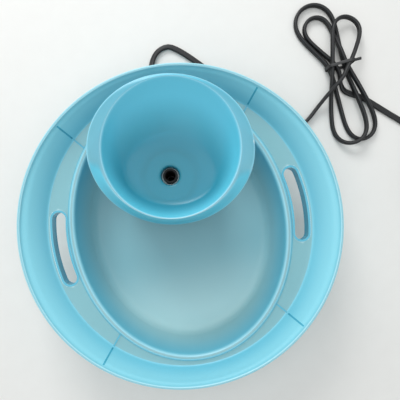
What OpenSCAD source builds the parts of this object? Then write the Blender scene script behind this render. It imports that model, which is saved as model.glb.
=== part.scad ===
// Pet water fountain: a round splash basin with an oval reservoir, a pump tower
// and an upper bowl that pours back into the reservoir. Millimetres, +Z up,
// +Y to the back, origin on the table under the middle of the basin.

/* [Basin] */
// Radius of the outer rim
rim_radius = 150; // [142:1:170]
// Height of the top of the rolled rim above the table
rim_height = 80; // [72:1:100]
// Radius of the rolled bead along the rim
rim_bead = 1.8; // [1.4:0.1:2.2]
// Wall of the moulded basin
basin_wall = 2.5; // [2:0.1:3]
// Height of the flat ledge above the table
ledge_height = 58; // [52:1:64]
// Half width of the ledge, to the foot of the flange
ledge_half_width = 127.5; // [125:0.5:132]
// Half depth of the ledge, to the foot of the flange
ledge_half_depth = 135; // [133:0.5:138]
// Half width of the reservoir's lip, to the crown of its bead
lip_half_width = 103.5; // [98:0.5:105]
// Half depth of the reservoir's lip, to the crown of its bead
lip_half_depth = 127; // [124:0.5:128]
// Width of the bead round the reservoir
lip_width = 7; // [5:0.5:8]
// Rise of that bead above the ledge
lip_rise = 3.5; // [2:0.5:5]
// Half width of the flat reservoir floor
floor_half_width = 88; // [80:1:90]
// Half depth of the flat reservoir floor
floor_half_depth = 111; // [105:1:113]
// Radius of the fillet between the floor and the wall
floor_fillet = 7; // [4:0.5:9]

/* [Hand slots and ribs] */
// Width of each hand slot
slot_width = 13; // [10:0.5:14]
// Length of each hand slot
slot_length = 71; // [50:1:80]
// Radius of the slot's curve
slot_radius = 140; // [120:1:160]
// Distance of the slot's middle from the centre line
slot_offset = 116.5; // [115:0.5:118]
// Depth of the collar below the ledge
slot_collar = 14; // [8:1:18]
// Wall of that collar
collar_wall = 2; // [1.5:0.1:2.5]
// Thickness of a rib under the flange
rib_thickness = 2; // [1.5:0.1:3]
// Angle of a rib from the front to back line
rib_angle = 40; // [36:1:44]

/* [Feet] */
// Height of a rubber foot
foot_height = 3; // [2:0.5:4]
// Radius of a rubber foot
foot_radius = 5; // [4:0.5:6]
// Sideways distance of a foot from the centre line
foot_x = 62; // [56:1:64]
// Distance of a foot to the front or back
foot_y = 83; // [76:1:86]

/* [Pump tower] */
// Distance of the riser's axis behind the centre
riser_y = 45; // [43:0.5:47]
// Half width of the tower at its base
tower_half_width = 50; // [48:0.5:54]
// Half depth of the tower at its base
tower_half_depth = 43; // [42:0.5:45]
// Draw of the tower's wall from its base to its top
tower_draft = 5; // [3:0.5:6]
// Wall of the tower
tower_wall = 2.5; // [2:0.1:3]
// Height of the tower's top above the table
tower_top = 91; // [88:1:98]
// Width of an intake slot in the tower
tower_slot = 4; // [3:0.5:5]
// Height of the intake slots
tower_slot_height = 26; // [18:1:30]

/* [Upper bowl] */
// Angle of the upper bowl about the riser as photographed
bowl_turn = -14; // [-30:1:30]
// Radius of the bowl's pouring edge
bowl_radius = 56; // [52:0.5:58]
// Distance of that edge's centre behind the riser
bowl_back = 19.5; // [16:0.5:20]
// Height of the lip at the back above the table
bowl_lip_back = 130; // [126:1:136]
// Height of the pouring edge at the front
bowl_lip_front = 124; // [120:1:126]
// Drop of the apron below the pouring edge
apron_drop = 14; // [10:1:16]
// Half width of the bowl with its side lips
bowl_half_width = 68.5; // [66:0.5:72]
// Half depth of the bowl with its lip
bowl_half_depth = 61; // [59:0.5:63]
// Half width of the bowl's floor
bowl_floor_half_width = 39; // [36:0.5:42]
// Half depth of the bowl's floor
bowl_floor_half_depth = 26.5; // [26:0.5:30]
// Wall of the bowl
bowl_wall = 2.5; // [2:0.1:3]
// Outer radius of the ring that seats in the tower
seat_radius = 24; // [20:0.5:24.5]
// Bore round the riser
riser_bore = 7.75; // [7.5:0.05:8.2]

/* [Pump] */
// Width of the pump body
pump_width = 36; // [34:0.5:38]
// Depth of the motor block
motor_depth = 39; // [36:0.5:42]
// Height of the pump body
pump_height = 36; // [34:0.5:40]
// Radius of the rotor chamber
rotor_bore = 8.3; // [8:0.1:9]
// Outer radius of the riser tube
tube_radius = 6.5; // [6:0.1:6.8]
// Wall of the riser tube
tube_wall = 1.9; // [1.5:0.1:2.2]
// Radius of the rotor shaft
shaft_radius = 1; // [0.8:0.1:1.5]
// Running clearance round the shaft
shaft_clearance = 0.08; // [0.04:0.01:0.1]
// Radius of the impeller's blades
blade_radius = 12; // [10:0.5:12.5]
// Number of blades
blade_count = 6; // [4:1:8]
// Depth of the intake cover
intake_depth = 8; // [7.5:0.5:9]
// Height of a suction cup
cup_height = 4.5; // [4:0.5:6]
// Radius of a suction cup
cup_radius = 6; // [5:0.5:7]

/* [Filter] */
// Width of the filter cartridge
filter_width = 38; // [34:0.5:39]
// Height of the filter cartridge
filter_height = 42; // [36:0.5:44]
// Thickness of the filter cartridge
filter_thickness = 7; // [5:0.5:7.5]
// Clearance between the cartridge and its guides
guide_clearance = 0.4; // [0.3:0.1:0.8]

/* [Cord] */
// Width of the flat twin cord
cord_width = 6.2; // [5:0.1:7]
// Thickness of the flat twin cord
cord_thick = 3.8; // [3:0.1:4.5]
// Length of the plug body
plug_length = 30; // [25:1:36]

/* [Hidden] */
$fn = 64;

sides = 72;             // corners of a lofted outline
fit = 0.3;              // gap between pieces that are put together by hand

aqua = [0.33, 0.74, 0.85];
aqua_deep = [0.22, 0.64, 0.78];
black_plastic = [0.06, 0.06, 0.07];
rubber_clear = [0.82, 0.90, 0.90];
steel = [0.75, 0.75, 0.77];

// ---- lofted outlines -------------------------------------------------------

// A ring is [centre y, half width, half depth, z]; w shifts z round the ring
function outline(ring, w) = [
    for (j = [0:sides - 1])
        let (t = 360 * j / sides)
        [ring[1] * cos(t), ring[0] + ring[2] * sin(t), ring[3] + w(t, ring)]
];

function level(t, ring) = 0;

// Chain of rings that closes with a flat cap at each end
module capped_loft(rings) {
    n = len(rings);
    points = [for (r = rings) each outline(r, function(t, q) level(t, q))];
    skin = [
        for (i = [0:n - 2], j = [0:sides - 1])
            let (a = i * sides + j, b = i * sides + (j + 1) % sides)
            each [[a, a + sides, b + sides], [a, b + sides, b]]
    ];
    first = [for (j = [0:sides - 1]) j];
    last = [for (j = [sides - 1:-1:0]) (n - 1) * sides + j];
    polyhedron(points, concat(skin, [first, last]));
}

// Chain of rings that runs back into its first one
module closed_loft(rings, w) {
    n = len(rings);
    points = [for (r = rings) each outline(r, w)];
    skin = [
        for (i = [0:n - 1], j = [0:sides - 1])
            let (k = (i + 1) % n, m = (j + 1) % sides)
            each [[i * sides + j, k * sides + j, k * sides + m],
                  [i * sides + j, k * sides + m, i * sides + m]]
    ];
    polyhedron(points, skin);
}

module at_corners(x, y) {
    for (sx = [-1, 1], sy = [-1, 1])
        translate([sx * x, sy * y, 0])
            children();
}

// ---- basin -----------------------------------------------------------------

floor_top = foot_height + basin_wall;
fillet_top = floor_top + floor_fillet;
bead_in = rim_radius - 2 * rim_bead;
bead_mid = rim_height - rim_bead;
knee_in = 9;            // flange's knee, inside the bead
knee_drop = 5;          // and below it
lip_half = lip_width / 2;
wall_in_width = lip_half_width - lip_half;
wall_in_depth = lip_half_depth - lip_half;

function basin_ring(a, b, z) = [0, a, b, z];

// Underside, from the floor's edge out to the rim
basin_under = [
    basin_ring(floor_half_width, floor_half_depth, foot_height),
    basin_ring(floor_half_width + floor_fillet * 0.55,
               floor_half_depth + floor_fillet * 0.55, foot_height + 1.2),
    basin_ring(floor_half_width + floor_fillet + basin_wall * 0.7,
               floor_half_depth + floor_fillet + basin_wall * 0.7, foot_height + floor_fillet * 0.75),
    basin_ring(wall_in_width + basin_wall, wall_in_depth + basin_wall, ledge_height - basin_wall),
    basin_ring(ledge_half_width + basin_wall * 0.5, ledge_half_depth + basin_wall * 0.5,
               ledge_height - basin_wall),
    basin_ring(rim_radius - knee_in, rim_radius - knee_in * 0.6, bead_mid - knee_drop - basin_wall),
    basin_ring(bead_in + basin_wall * 0.3, bead_in + basin_wall * 0.3, bead_mid - basin_wall),
    basin_ring(rim_radius - rim_bead, rim_radius - rim_bead, bead_mid - rim_bead),
    basin_ring(rim_radius, rim_radius, bead_mid)
];

// Top side, from the rim in and down to the floor
basin_upper = [
    basin_ring(rim_radius - rim_bead * 0.3, rim_radius - rim_bead * 0.3, bead_mid + rim_bead * 0.7),
    basin_ring(rim_radius - rim_bead, rim_radius - rim_bead, rim_height),
    basin_ring(bead_in + rim_bead * 0.3, bead_in + rim_bead * 0.3, bead_mid + rim_bead * 0.7),
    basin_ring(bead_in, bead_in, bead_mid),
    basin_ring(rim_radius - knee_in - 1, rim_radius - knee_in * 0.6 - 1, bead_mid - knee_drop + 0.8),
    basin_ring(ledge_half_width + 3, ledge_half_depth + 2, ledge_height + 5),
    basin_ring(ledge_half_width, ledge_half_depth, ledge_height),
    basin_ring(lip_half_width + lip_half, lip_half_depth + lip_half, ledge_height),
    basin_ring(lip_half_width + lip_half * 0.6, lip_half_depth + lip_half * 0.6,
               ledge_height + lip_rise * 0.75),
    basin_ring(lip_half_width, lip_half_depth, ledge_height + lip_rise),
    basin_ring(lip_half_width - lip_half * 0.6, lip_half_depth - lip_half * 0.6,
               ledge_height + lip_rise * 0.75),
    basin_ring(wall_in_width, wall_in_depth, ledge_height),
    basin_ring(floor_half_width + floor_fillet, floor_half_depth + floor_fillet, fillet_top),
    basin_ring(floor_half_width + floor_fillet * 0.7, floor_half_depth + floor_fillet * 0.7,
               floor_top + floor_fillet * 0.35),
    basin_ring(floor_half_width, floor_half_depth, floor_top)
];

// Radius of an ellipse along a line at angle t from its depth axis
function ellipse_radius(a, b, t) = a * b / sqrt(pow(b * sin(t), 2) + pow(a * cos(t), 2));

// Radius of the middle of the reservoir's wall along a line at angle t, at height z
function wall_radius(t, z) =
    let (s = (z - fillet_top) / (ledge_height - fillet_top),
         a = floor_half_width + floor_fillet + s * (wall_in_width - floor_half_width - floor_fillet),
         b = floor_half_depth + floor_fillet + s * (wall_in_depth - floor_half_depth - floor_fillet))
    ellipse_radius(a + basin_wall / 2, b + basin_wall / 2, t);

rib_foot = 28;          // height of the rib's lowest point on the wall
rib_web = 13;           // depth of the rib below the ledge's edge

// One rib in its own plane, x outwards from the centre
module rib(t) {
    edge = ellipse_radius(ledge_half_width, ledge_half_depth, t);
    middle = ledge_height - basin_wall / 2;
    rotate([90, 0, 0])
        linear_extrude(rib_thickness, center = true)
            polygon([
                [wall_radius(t, rib_foot), rib_foot],
                [edge, middle - rib_web],
                [rim_radius - rim_bead * 1.5, bead_mid - basin_wall * 1.6],
                [rim_radius - rim_bead * 1.5, bead_mid - 1],
                [edge + basin_wall * 0.6, middle],
                [wall_radius(t, middle), middle]
            ]);
}

// Curved slot: an arc band with round ends, grown by g
module slot_form(g, low, high) {
    half = asin((slot_length - slot_width) / 2 / slot_radius);
    w = slot_width + 2 * g;
    translate([slot_offset - slot_radius, 0, low])
        union() {
            rotate([0, 0, -half])
                rotate_extrude(angle = 2 * half)
                    translate([slot_radius - w / 2, 0])
                        square([w, high - low]);
            for (s = [-1, 1])
                rotate([0, 0, s * half])
                    translate([slot_radius, 0, 0])
                        cylinder(h = high - low, r = w / 2);
        }
}

grommet_z = 32;         // height of the cord's exit through the back wall
grommet_radius = 5;     // neck of the grommet
grommet_boss = 8;       // radius of the boss round it
boss_half_length = 5;
boss_shift = 1.4;       // boss's middle, out from the middle of the wall at its height
grommet_in = wall_radius(0, grommet_z) + boss_shift - boss_half_length;
grommet_out = grommet_in + 2 * boss_half_length;
grommet_lip = 1.5;      // flange on each side of the boss

module basin() {
    color(aqua)
        difference() {
            union() {
                capped_loft(concat(basin_under, basin_upper));
                for (m = [0, 1])
                    mirror([m, 0, 0])
                        slot_form(collar_wall, ledge_height - slot_collar, ledge_height - basin_wall / 2);
                for (a = [90 - rib_angle, 90 + rib_angle, 270 - rib_angle, 270 + rib_angle])
                    rotate([0, 0, a])
                        rib(a - 90);
                translate([0, grommet_in, grommet_z])
                    rotate([-90, 0, 0])
                        cylinder(h = grommet_out - grommet_in, r = grommet_boss);
                at_corners(foot_x, foot_y)
                    translate([0, 0, foot_height])
                        cylinder(h = basin_wall - 0.2, r = foot_radius + 2);
            }
            for (m = [0, 1])
                mirror([m, 0, 0])
                    slot_form(0, ledge_height - slot_collar - 1, ledge_height + lip_rise + 1);
            translate([0, grommet_in - 1, grommet_z])
                rotate([-90, 0, 0])
                    cylinder(h = grommet_out - grommet_in + 2, r = grommet_radius);
        }
}

module rubber_feet() {
    color(rubber_clear)
        at_corners(foot_x, foot_y)
            cylinder(h = foot_height, r1 = foot_radius - 0.6, r2 = foot_radius);
}

// ---- pump tower ------------------------------------------------------------

tower_y = riser_y + 3;
plate_under = tower_top - tower_wall;
tower_round = 5;        // rounding between the tower's wall and its top
tower_hole = seat_radius + fit;
notch_width = 13;       // gate for the gland and cord at the back of the tower
notch_height = 38;
guide_wall = 2;
filter_y = tower_y - tower_half_depth + 16.5; // middle of the cartridge
filter_low = floor_top + 1.8;

function tower_ring(inset, z) =
    [tower_y, tower_half_width - inset, tower_half_depth - inset, z];

module pump_tower() {
    top = tower_draft;
    color(aqua_deep)
        difference() {
            union() {
                closed_loft([
                    tower_ring(tower_wall, floor_top),
                    tower_ring(0, floor_top),
                    tower_ring(top, tower_top - tower_round),
                    tower_ring(top + tower_round * 0.3, tower_top - tower_round * 0.3),
                    tower_ring(top + tower_round, tower_top),
                    [riser_y, seat_radius - 1, seat_radius - 1, tower_top],
                    [riser_y, seat_radius - 1, seat_radius - 1, plate_under],
                    tower_ring(top + tower_round, plate_under),
                    tower_ring(top + tower_wall, tower_top - tower_round)
                ], function(t, q) level(t, q));
                for (m = [0, 1])
                    mirror([m, 0, 0])
                        filter_guide();
            }
            translate([0, riser_y, plate_under - 1])
                cylinder(h = tower_wall + 2, r = tower_hole);
            tower_intakes();
            translate([-notch_width / 2, tower_y + tower_half_depth - 12, floor_top - 1])
                cube([notch_width, 14, notch_height + 1]);
        }
}

guide_hold = 2.5;       // how far a guide reaches over the cartridge's edge
guide_high = 34;        // height of the guides

// Side channel that holds one edge of the cartridge, with a stop below it
module filter_guide() {
    near = filter_width / 2 + guide_clearance;
    deep = filter_thickness / 2 + guide_clearance;
    reach = sqrt(1 - pow((filter_y - tower_y) / tower_half_depth, 2)) * tower_half_width - near;
    translate([near - guide_hold, filter_y + deep, floor_top])
        cube([reach + 2.5, guide_wall, guide_high]);
    translate([near - guide_hold, filter_y - deep - guide_wall, floor_top])
        cube([reach - 3.5, guide_wall, guide_high]);
    translate([near, filter_y - deep - 0.5, floor_top])
        cube([guide_wall, 2 * deep + 1, guide_high]);
    translate([near - guide_hold, filter_y - deep - 0.5, floor_top])
        cube([guide_hold + 0.5, 2 * deep + 1, filter_low - floor_top]);
}

// Slots low in the tower's wall: in front of the cartridge and at both sides
module tower_intakes() {
    for (a = concat([for (k = [-2:2]) -90 + 11 * k], [for (k = [0:4], s = [-1, 1]) 90 + s * (70 + 11 * k)]))
        translate([0, tower_y, floor_top + 4])
            rotate([0, 0, a])
                translate([tower_half_depth * 0.78, -tower_slot / 2, 0])
                    cube([tower_half_width, tower_slot, tower_slot_height]);
}

// ---- upper bowl ------------------------------------------------------------

bowl_floor = 98;        // inner floor of the bowl at its hole
flange_under = tower_top;
apron_reach = 6.3;      // how far the apron stands out in front of the pouring edge
lip_y = bowl_half_depth - bowl_radius + bowl_back - apron_reach;
kink = 12;              // angle in front of the sides where the apron starts
kink_step = 0.2;        // share of the apron's drop that comes as a step at the kink

// Share of the apron's drop at angle t: none behind the kink, all at the front
function front_share(t) =
    let (f = asin(-sin(t)), s = min(1, max(0, (f - kink) / (90 - kink))))
    kink_step * min(1, s * 9) + (1 - kink_step) * s * s * (3 - 2 * s);

// A ring's fifth value is its share of the crest's fall to the front, the sixth of the apron's drop
function bowl_shape(t, ring) =
    ring[4] * (bowl_lip_front - bowl_lip_back) * (1 - sin(t)) / 2
    - ring[5] * apron_drop * front_share(t);

bowl_wide = bowl_radius - bowl_floor_half_width;
bowl_deep = bowl_radius - bowl_floor_half_depth;

// Ring of the bowl's wall at share s of its height, grown by g
function bowl_wall_ring(s, z, g, fall, drop) =
    [1 + s * (bowl_back - 1), bowl_floor_half_width + s * bowl_wide + g,
     bowl_floor_half_depth + s * bowl_deep + g, z, fall, drop];

// Ring of the lip, in by g from its outer edge and down by d from its crest
function lip_ring(g, d) =
    [lip_y, bowl_half_width - g, bowl_half_depth - g, bowl_lip_back - d, 1, 1];

bowl_rings = [
    [0, riser_bore + 1, riser_bore + 1, bowl_floor - bowl_wall, 0, 0],
    bowl_wall_ring(-0.02, bowl_floor - bowl_wall + 0.5, 0, 0, 0),
    bowl_wall_ring(0.16, bowl_floor + 1.8, bowl_wall * 0.8, 0.1, 0),
    bowl_wall_ring(0.5, bowl_floor + 9.8, bowl_wall * 0.9, 0.4, 0.1),
    bowl_wall_ring(0.93, bowl_lip_back - 4.6, bowl_wall * 0.7, 1, 0.3),
    lip_ring(1.8, 3.4),
    lip_ring(0.6, 3),
    lip_ring(0, 1.8),
    lip_ring(0.8, 0.6),
    [bowl_back, bowl_radius + 1.5, bowl_radius + 1.2, bowl_lip_back, 1, 0],
    [bowl_back, bowl_radius, bowl_radius, bowl_lip_back - 0.2, 1, 0],
    bowl_wall_ring(0.5, bowl_floor + 13, 0, 0.4, 0),
    bowl_wall_ring(0.16, bowl_floor + 4.5, 0, 0.1, 0),
    bowl_wall_ring(0, bowl_floor + 1.4, 0, 0, 0),
    [0.5, 17, 16, bowl_floor + 0.4, 0, 0],
    [0, riser_bore + 1, riser_bore + 1, bowl_floor, 0, 0]
];

collar_low = tower_top - 7;

module upper_bowl() {
    color(aqua_deep)
        translate([0, riser_y, 0])
            rotate([0, 0, bowl_turn])
                difference() {
                    union() {
                        closed_loft(bowl_rings, function(t, q) bowl_shape(t, q));
                        translate([0, 0, collar_low])
                            cylinder(h = bowl_floor - collar_low, r = riser_bore + 2.5);
                        seat_ring(seat_radius, tower_top - 5);
                        seat_ring(seat_radius + 2.6, flange_under);
                    }
                    translate([0, 0, collar_low - 1])
                        cylinder(h = bowl_floor - collar_low + 3, r = riser_bore);
                }
}

module seat_ring(radius, low) {
    high = bowl_floor - bowl_wall + 0.8;
    translate([0, 0, low])
        difference() {
            cylinder(h = high - low, r = radius);
            translate([0, 0, -1])
                cylinder(h = high - low + 2, r = seat_radius - 2.5);
        }
}

module riser_seal() {
    color(rubber_clear)
        translate([0, riser_y, collar_low + 1])
            ring(tube_radius + 0.06, riser_bore - 0.06, 4);
}

module ring(inner, outer, h) {
    difference() {
        cylinder(h = h, r = outer);
        translate([0, 0, -1])
            cylinder(h = h + 2, r = inner);
    }
}

// ---- filter cartridge ------------------------------------------------------

filter_bar = 3;

module filter_frame() {
    color("whitesmoke")
        translate([-filter_width / 2, filter_y - filter_thickness / 2, filter_low])
            difference() {
                cube([filter_width, filter_thickness, filter_height]);
                translate([filter_bar, -1, filter_bar])
                    cube([filter_width - 2 * filter_bar, filter_thickness + 2,
                          filter_height - 2 * filter_bar]);
            }
}

module filter_pad() {
    color("dimgray")
        translate([0, filter_y, filter_low + filter_height / 2])
            cube([filter_width - 2 * filter_bar, filter_thickness - 1.6,
                  filter_height - 2 * filter_bar], center = true);
}

// ---- pump ------------------------------------------------------------------

pump_low = floor_top + cup_height;
pump_top = pump_low + pump_height;
pump_front = riser_y - 4;
pump_rear = pump_front + motor_depth;
pump_wall = 2;
rotor_z = pump_low + 17;
volute_radius = blade_radius + 2;
volute_depth = 8.5;
volute_rear = pump_front + volute_depth;
chamber_rear = volute_rear + 20;
bush_radius = 3;
bush_length = 2.5;
cover_plate = 1.5;
stub_top = pump_top + 12;
stub_radius = tube_radius - tube_wall - 0.05;
core_y = volute_rear + pump_wall; // front of the laminated core
core_depth = 10;
cup_plug = 1.3;         // plug of a suction cup, held in the pump's underside
cup_neck = 1.9;         // and its radius
skin = 1.8;             // wall of the intake cover
pump_through = 60;      // length of a cut that runs right through the pump

// Bar along +Y from y, on the rotor's axis
module rotor_bar(y, length, radius) {
    translate([0, y, rotor_z])
        rotate([-90, 0, 0])
            cylinder(h = length, r = radius);
}

module pump_body() {
    color(black_plastic)
        difference() {
            union() {
                translate([-pump_width / 2, pump_front, pump_low])
                    cube([pump_width, motor_depth, pump_height]);
                translate([0, riser_y, pump_top - 1])
                    cylinder(h = stub_top - pump_top + 1, r = stub_radius);
            }
            rotor_bar(pump_front - 1, volute_depth + 1, volute_radius);
            rotor_bar(volute_rear - 1, chamber_rear - volute_rear + 1, rotor_bore);
            rotor_bar(chamber_rear - 1, bush_length + 1, bush_radius);
            translate([0, riser_y, rotor_z])
                cylinder(h = stub_top - rotor_z + 1, r = 3);
            // room for the stator and its coil round the rotor chamber
            difference() {
                translate([-pump_width / 2 + pump_wall, volute_rear + pump_wall, pump_low + pump_wall])
                    cube([pump_width - 2 * pump_wall, pump_rear - volute_rear, pump_height - 2 * pump_wall]);
                rotor_bar(volute_rear, chamber_rear - volute_rear + bush_length + 1, rotor_bore + 1.2);
            }
            at_cups()
                translate([0, 0, -1])
                    cylinder(h = cup_plug + 1.2, r = cup_neck + 0.1);
        }
}

potting_depth = 5;

// Epoxy face that closes the back of the motor block
module potting_cap() {
    color("black")
        difference() {
            translate([-pump_width / 2 + pump_wall, pump_rear - potting_depth, pump_low + pump_wall])
                cube([pump_width - 2 * pump_wall, potting_depth, pump_height - 2 * pump_wall]);
            translate([0, pump_rear - potting_depth - 1, gland_z])
                rotate([-90, 0, 0])
                    cylinder(h = potting_depth + 2, r = gland_radius);
        }
}

core_margin = 3;        // wall and air round the core

// Laminated core: two legs that hold the rotor chamber, joined over the top
module stator_core() {
    wide = pump_width - 2 * core_margin;
    mouth = wide - 12;
    color(steel)
        translate([-wide / 2, core_y, pump_low + core_margin])
            difference() {
                cube([wide, core_depth, pump_height - 2 * core_margin]);
                translate([wide / 2, -1, rotor_z - pump_low - core_margin])
                    rotate([-90, 0, 0])
                        cylinder(h = core_depth + 2, r = rotor_bore + 1.7);
                translate([(wide - mouth) / 2, -1, -1])
                    cube([mouth, core_depth + 2, rotor_z - pump_low - core_margin]);
            }
}

// Wound coil behind the bridge of the core, above the rotor chamber
module motor_coil() {
    low = rotor_z + rotor_bore + 1.6;
    tall = pump_top - core_margin - low;
    color("peru")
        translate([-8, core_y + core_depth, low])
            difference() {
                cube([16, pump_rear - potting_depth - core_y - core_depth, tall]);
                translate([5, 6, 2])
                    cube([6, 20, tall - 4]);
            }
}

module rotor_magnet() {
    color("dimgray")
        difference() {
            rotor_bar(volute_rear + 1.2, chamber_rear - volute_rear - 2.4, rotor_bore - 0.8);
            rotor_bar(volute_rear - 1, chamber_rear - volute_rear + 2, hub_radius);
        }
}

hub_radius = 3.4;

// Hub that runs through the magnet, with its blades in the volute
module impeller_wheel() {
    length = chamber_rear - volute_rear - 1.2;
    color("white")
        difference() {
            union() {
                rotor_bar(pump_front + 1.5, volute_depth - 1.5 + length, hub_radius);
                rotor_bar(volute_rear - 1.2, 0.9, blade_radius - 2);
                for (k = [0:blade_count - 1])
                    translate([0, pump_front + 1.6, rotor_z])
                        rotate([0, 360 * k / blade_count, 0])
                            translate([hub_radius - 0.5, 0, -0.6])
                                cube([blade_radius - hub_radius, volute_depth - 2.6, 1.2]);
            }
            rotor_bar(pump_front, pump_through, shaft_radius + shaft_clearance);
        }
}

module rotor_shaft() {
    color("ivory")
        rotor_bar(pump_front - cover_plate + 0.2, chamber_rear - pump_front + cover_plate + 1.8,
                  shaft_radius);
}

module shaft_bushes() {
    color("darkslategray")
        difference() {
            union() {
                rotor_bar(pump_front - cover_plate, cover_plate + 1, bush_radius);
                rotor_bar(chamber_rear - 0.4, bush_length + 0.4, bush_radius);
            }
            rotor_bar(pump_front - cover_plate - 1, pump_through, shaft_radius);
        }
}

// Plate in front of the blades, with the eye of the pump and a three armed hub
module impeller_cover() {
    color(black_plastic)
        difference() {
            union() {
                difference() {
                    rotor_bar(pump_front - cover_plate, cover_plate, volute_radius + 1.5);
                    rotor_bar(pump_front - cover_plate - 1, cover_plate + 2, 8);
                }
                rotor_bar(pump_front - cover_plate, cover_plate, bush_radius + 1.4);
                for (k = [0:2])
                    translate([0, pump_front - cover_plate, rotor_z])
                        rotate([0, 120 * k + 90, 0])
                            translate([bush_radius + 0.5, 0, -0.8])
                                cube([6, cover_plate, 1.6]);
            }
            rotor_bar(pump_front - cover_plate - 1, cover_plate + 2, bush_radius);
        }
}

cover_front = pump_front - intake_depth;
cover_lap = 4;          // how far the cover's sides reach back over the body

module foam_prefilter() {
    front = cover_front + skin;
    depth = pump_front - cover_plate - front;
    color([0.12, 0.12, 0.13])
        translate([-pump_width / 2 + 0.5, front, pump_low + 1])
            cube([pump_width - 1, depth, pump_height - 2]);
}

// Cup with a barred face that slides off the front of the pump
module intake_cover() {
    w = pump_width + 2 * (skin + fit);
    color(black_plastic)
        difference() {
            translate([-w / 2, cover_front, pump_low])
                cube([w, intake_depth + cover_lap, pump_height]);
            translate([-w / 2 + skin, cover_front + skin, pump_low - 1])
                cube([w - 2 * skin, intake_depth + cover_lap, pump_height + 2]);
            for (k = [-3:3])
                translate([k * 4.4 - 1.2, cover_front - 1, pump_low + 5])
                    cube([2.4, skin + 2, pump_height - 14]);
            translate([-12, cover_front - 1, pump_top - 6.4])
                cube([24, skin + 2, 2.8]);
        }
}

slider_travel = 6;

// Shutter with a finger nub, on the face of the intake cover
module flow_slider() {
    color([0.18, 0.18, 0.2])
        union() {
            translate([-9 - slider_travel / 2, cover_front - 1.5, pump_low + 6])
                cube([16, 1.3, pump_height - 9]);
            translate([-3 - slider_travel / 2, cover_front - 1, pump_top - 6.2])
                cube([4, skin + 0.8, 2.4]);
            translate([-4 - slider_travel / 2, cover_front - 2.6, pump_low + 12])
                cube([6, 1.6, 3]);
        }
}

module at_cups() {
    for (sx = [-1, 1], sy = [-1, 1])
        translate([sx * (pump_width / 2 - cup_radius),
                   (pump_front + pump_rear) / 2 + sy * (motor_depth / 2 - cup_radius - 1), pump_low])
            children();
}

module suction_cups() {
    color([0.15, 0.15, 0.16])
        at_cups()
            translate([0, 0, -cup_height])
                rotate_extrude()
                    polygon([[0, 1.2], [cup_radius - 1.4, 0], [cup_radius, 0], [cup_radius, 0.5],
                             [2.6, 2.6], [2.6, cup_height], [cup_neck, cup_height],
                             [cup_neck, cup_height + cup_plug], [0, cup_height + cup_plug]]);
}

module riser_tube() {
    color(black_plastic)
        translate([0, riser_y, pump_top])
            ring(tube_radius - tube_wall, tube_radius, bowl_floor - 0.6 - pump_top);
}

gland_z = pump_low + 23;
gland_radius = 5.5;
gland_length = 15;

// Tapered strain relief moulded on the cord, cast into the back of the pump
module cable_gland() {
    color(black_plastic)
        translate([0, pump_rear - potting_depth, gland_z])
            rotate([-90, 0, 0])
                union() {
                    cylinder(h = potting_depth + 1, r = gland_radius);
                    translate([0, 0, potting_depth])
                        cylinder(h = gland_length, r1 = gland_radius, r2 = boot_end_radius);
                }
}

boot_tilt = 35;         // droop of the tapered boot outside the wall
boot_length = 22;
boot_radius = 6.2;
boot_end_radius = cord_width / 2 + 0.9;
boot_y = grommet_out + grommet_lip + boot_radius * sin(boot_tilt);
boot_way = [0, cos(boot_tilt), -sin(boot_tilt)];

// Seal moulded on the cord, clipped into the boss, with a tapered boot outside
module cord_grommet() {
    color([0.1, 0.1, 0.11])
        union() {
            translate([0, grommet_in - grommet_lip, grommet_z])
                rotate([-90, 0, 0]) {
                    cylinder(h = grommet_out - grommet_in + grommet_lip, r = grommet_radius);
                    cylinder(h = grommet_lip, r = grommet_boss - 0.5);
                    translate([0, 0, grommet_out - grommet_in + grommet_lip])
                        cylinder(h = grommet_lip, r = grommet_boss - 0.5);
                    translate([0, 0, grommet_out - grommet_in + grommet_lip])
                        cylinder(h = boot_y - grommet_out, r = boot_radius);
                }
            translate([0, boot_y, grommet_z]) {
                sphere(r = boot_radius);
                rotate([-90 - boot_tilt, 0, 0])
                    cylinder(h = boot_length, r1 = boot_radius, r2 = boot_end_radius);
            }
        }
}

// ---- cord ------------------------------------------------------------------

section_sides = 8;

function unit(v) = v / norm(v);

// Flat section at p, heading along d, with its wide side rolled up by r degrees
function cord_ring(p, d, r, n, w, h) =
    let (side = unit(cross(d, [0, 0, 1])), up = cross(side, d),
         wide = side * cos(r) + up * sin(r), thin = up * cos(r) - side * sin(r))
    [for (k = [0:n - 1]) let (t = 360 * (k + 0.5) / n)
        p + wide * (w / 2 * cos(t)) + thin * (h / 2 * sin(t))];

// Tube along a list of [x, y, z, roll], which starts along first_way and ends along last_way
module cord_tube(route, n, first_way, last_way) {
    m = len(route);
    at = [for (q = route) xyz(q)];
    way = [
        for (i = [0:m - 1])
            i == 0 ? first_way : i == m - 1 ? last_way : unit(at[i + 1] - at[i - 1])
    ];
    points = [
        for (i = [0:m - 1])
            each cord_ring(at[i], way[i], route[i][3], n, cord_width, cord_thick)
    ];
    skin = [
        for (i = [0:m - 2], k = [0:n - 1])
            let (a = i * n + k, b = i * n + (k + 1) % n)
            each [[a, b, b + n], [a, b + n, a + n]]
    ];
    first = [for (k = [n - 1:-1:0]) k];
    last = [for (k = [0:n - 1]) (m - 1) * n + k];
    polyhedron(points, concat(skin, [first, last]));
}

// Point at share u between p[i] and p[i + 1] on a smooth curve through all points
function smooth(p, i, u) =
    let (a = p[max(i - 1, 0)], b = p[i], c = p[i + 1], d = p[min(i + 2, len(p) - 1)])
    0.5 * (2 * b + (c - a) * u + (2 * a - 5 * b + 4 * c - d) * pow(u, 2)
           + (3 * b - a - 3 * c + d) * pow(u, 3));

function curve(p, steps) = [
    for (i = [0:len(p) - 2], k = [0:steps - 1]) smooth(p, i, k / steps),
    p[len(p) - 1]
];

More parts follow.
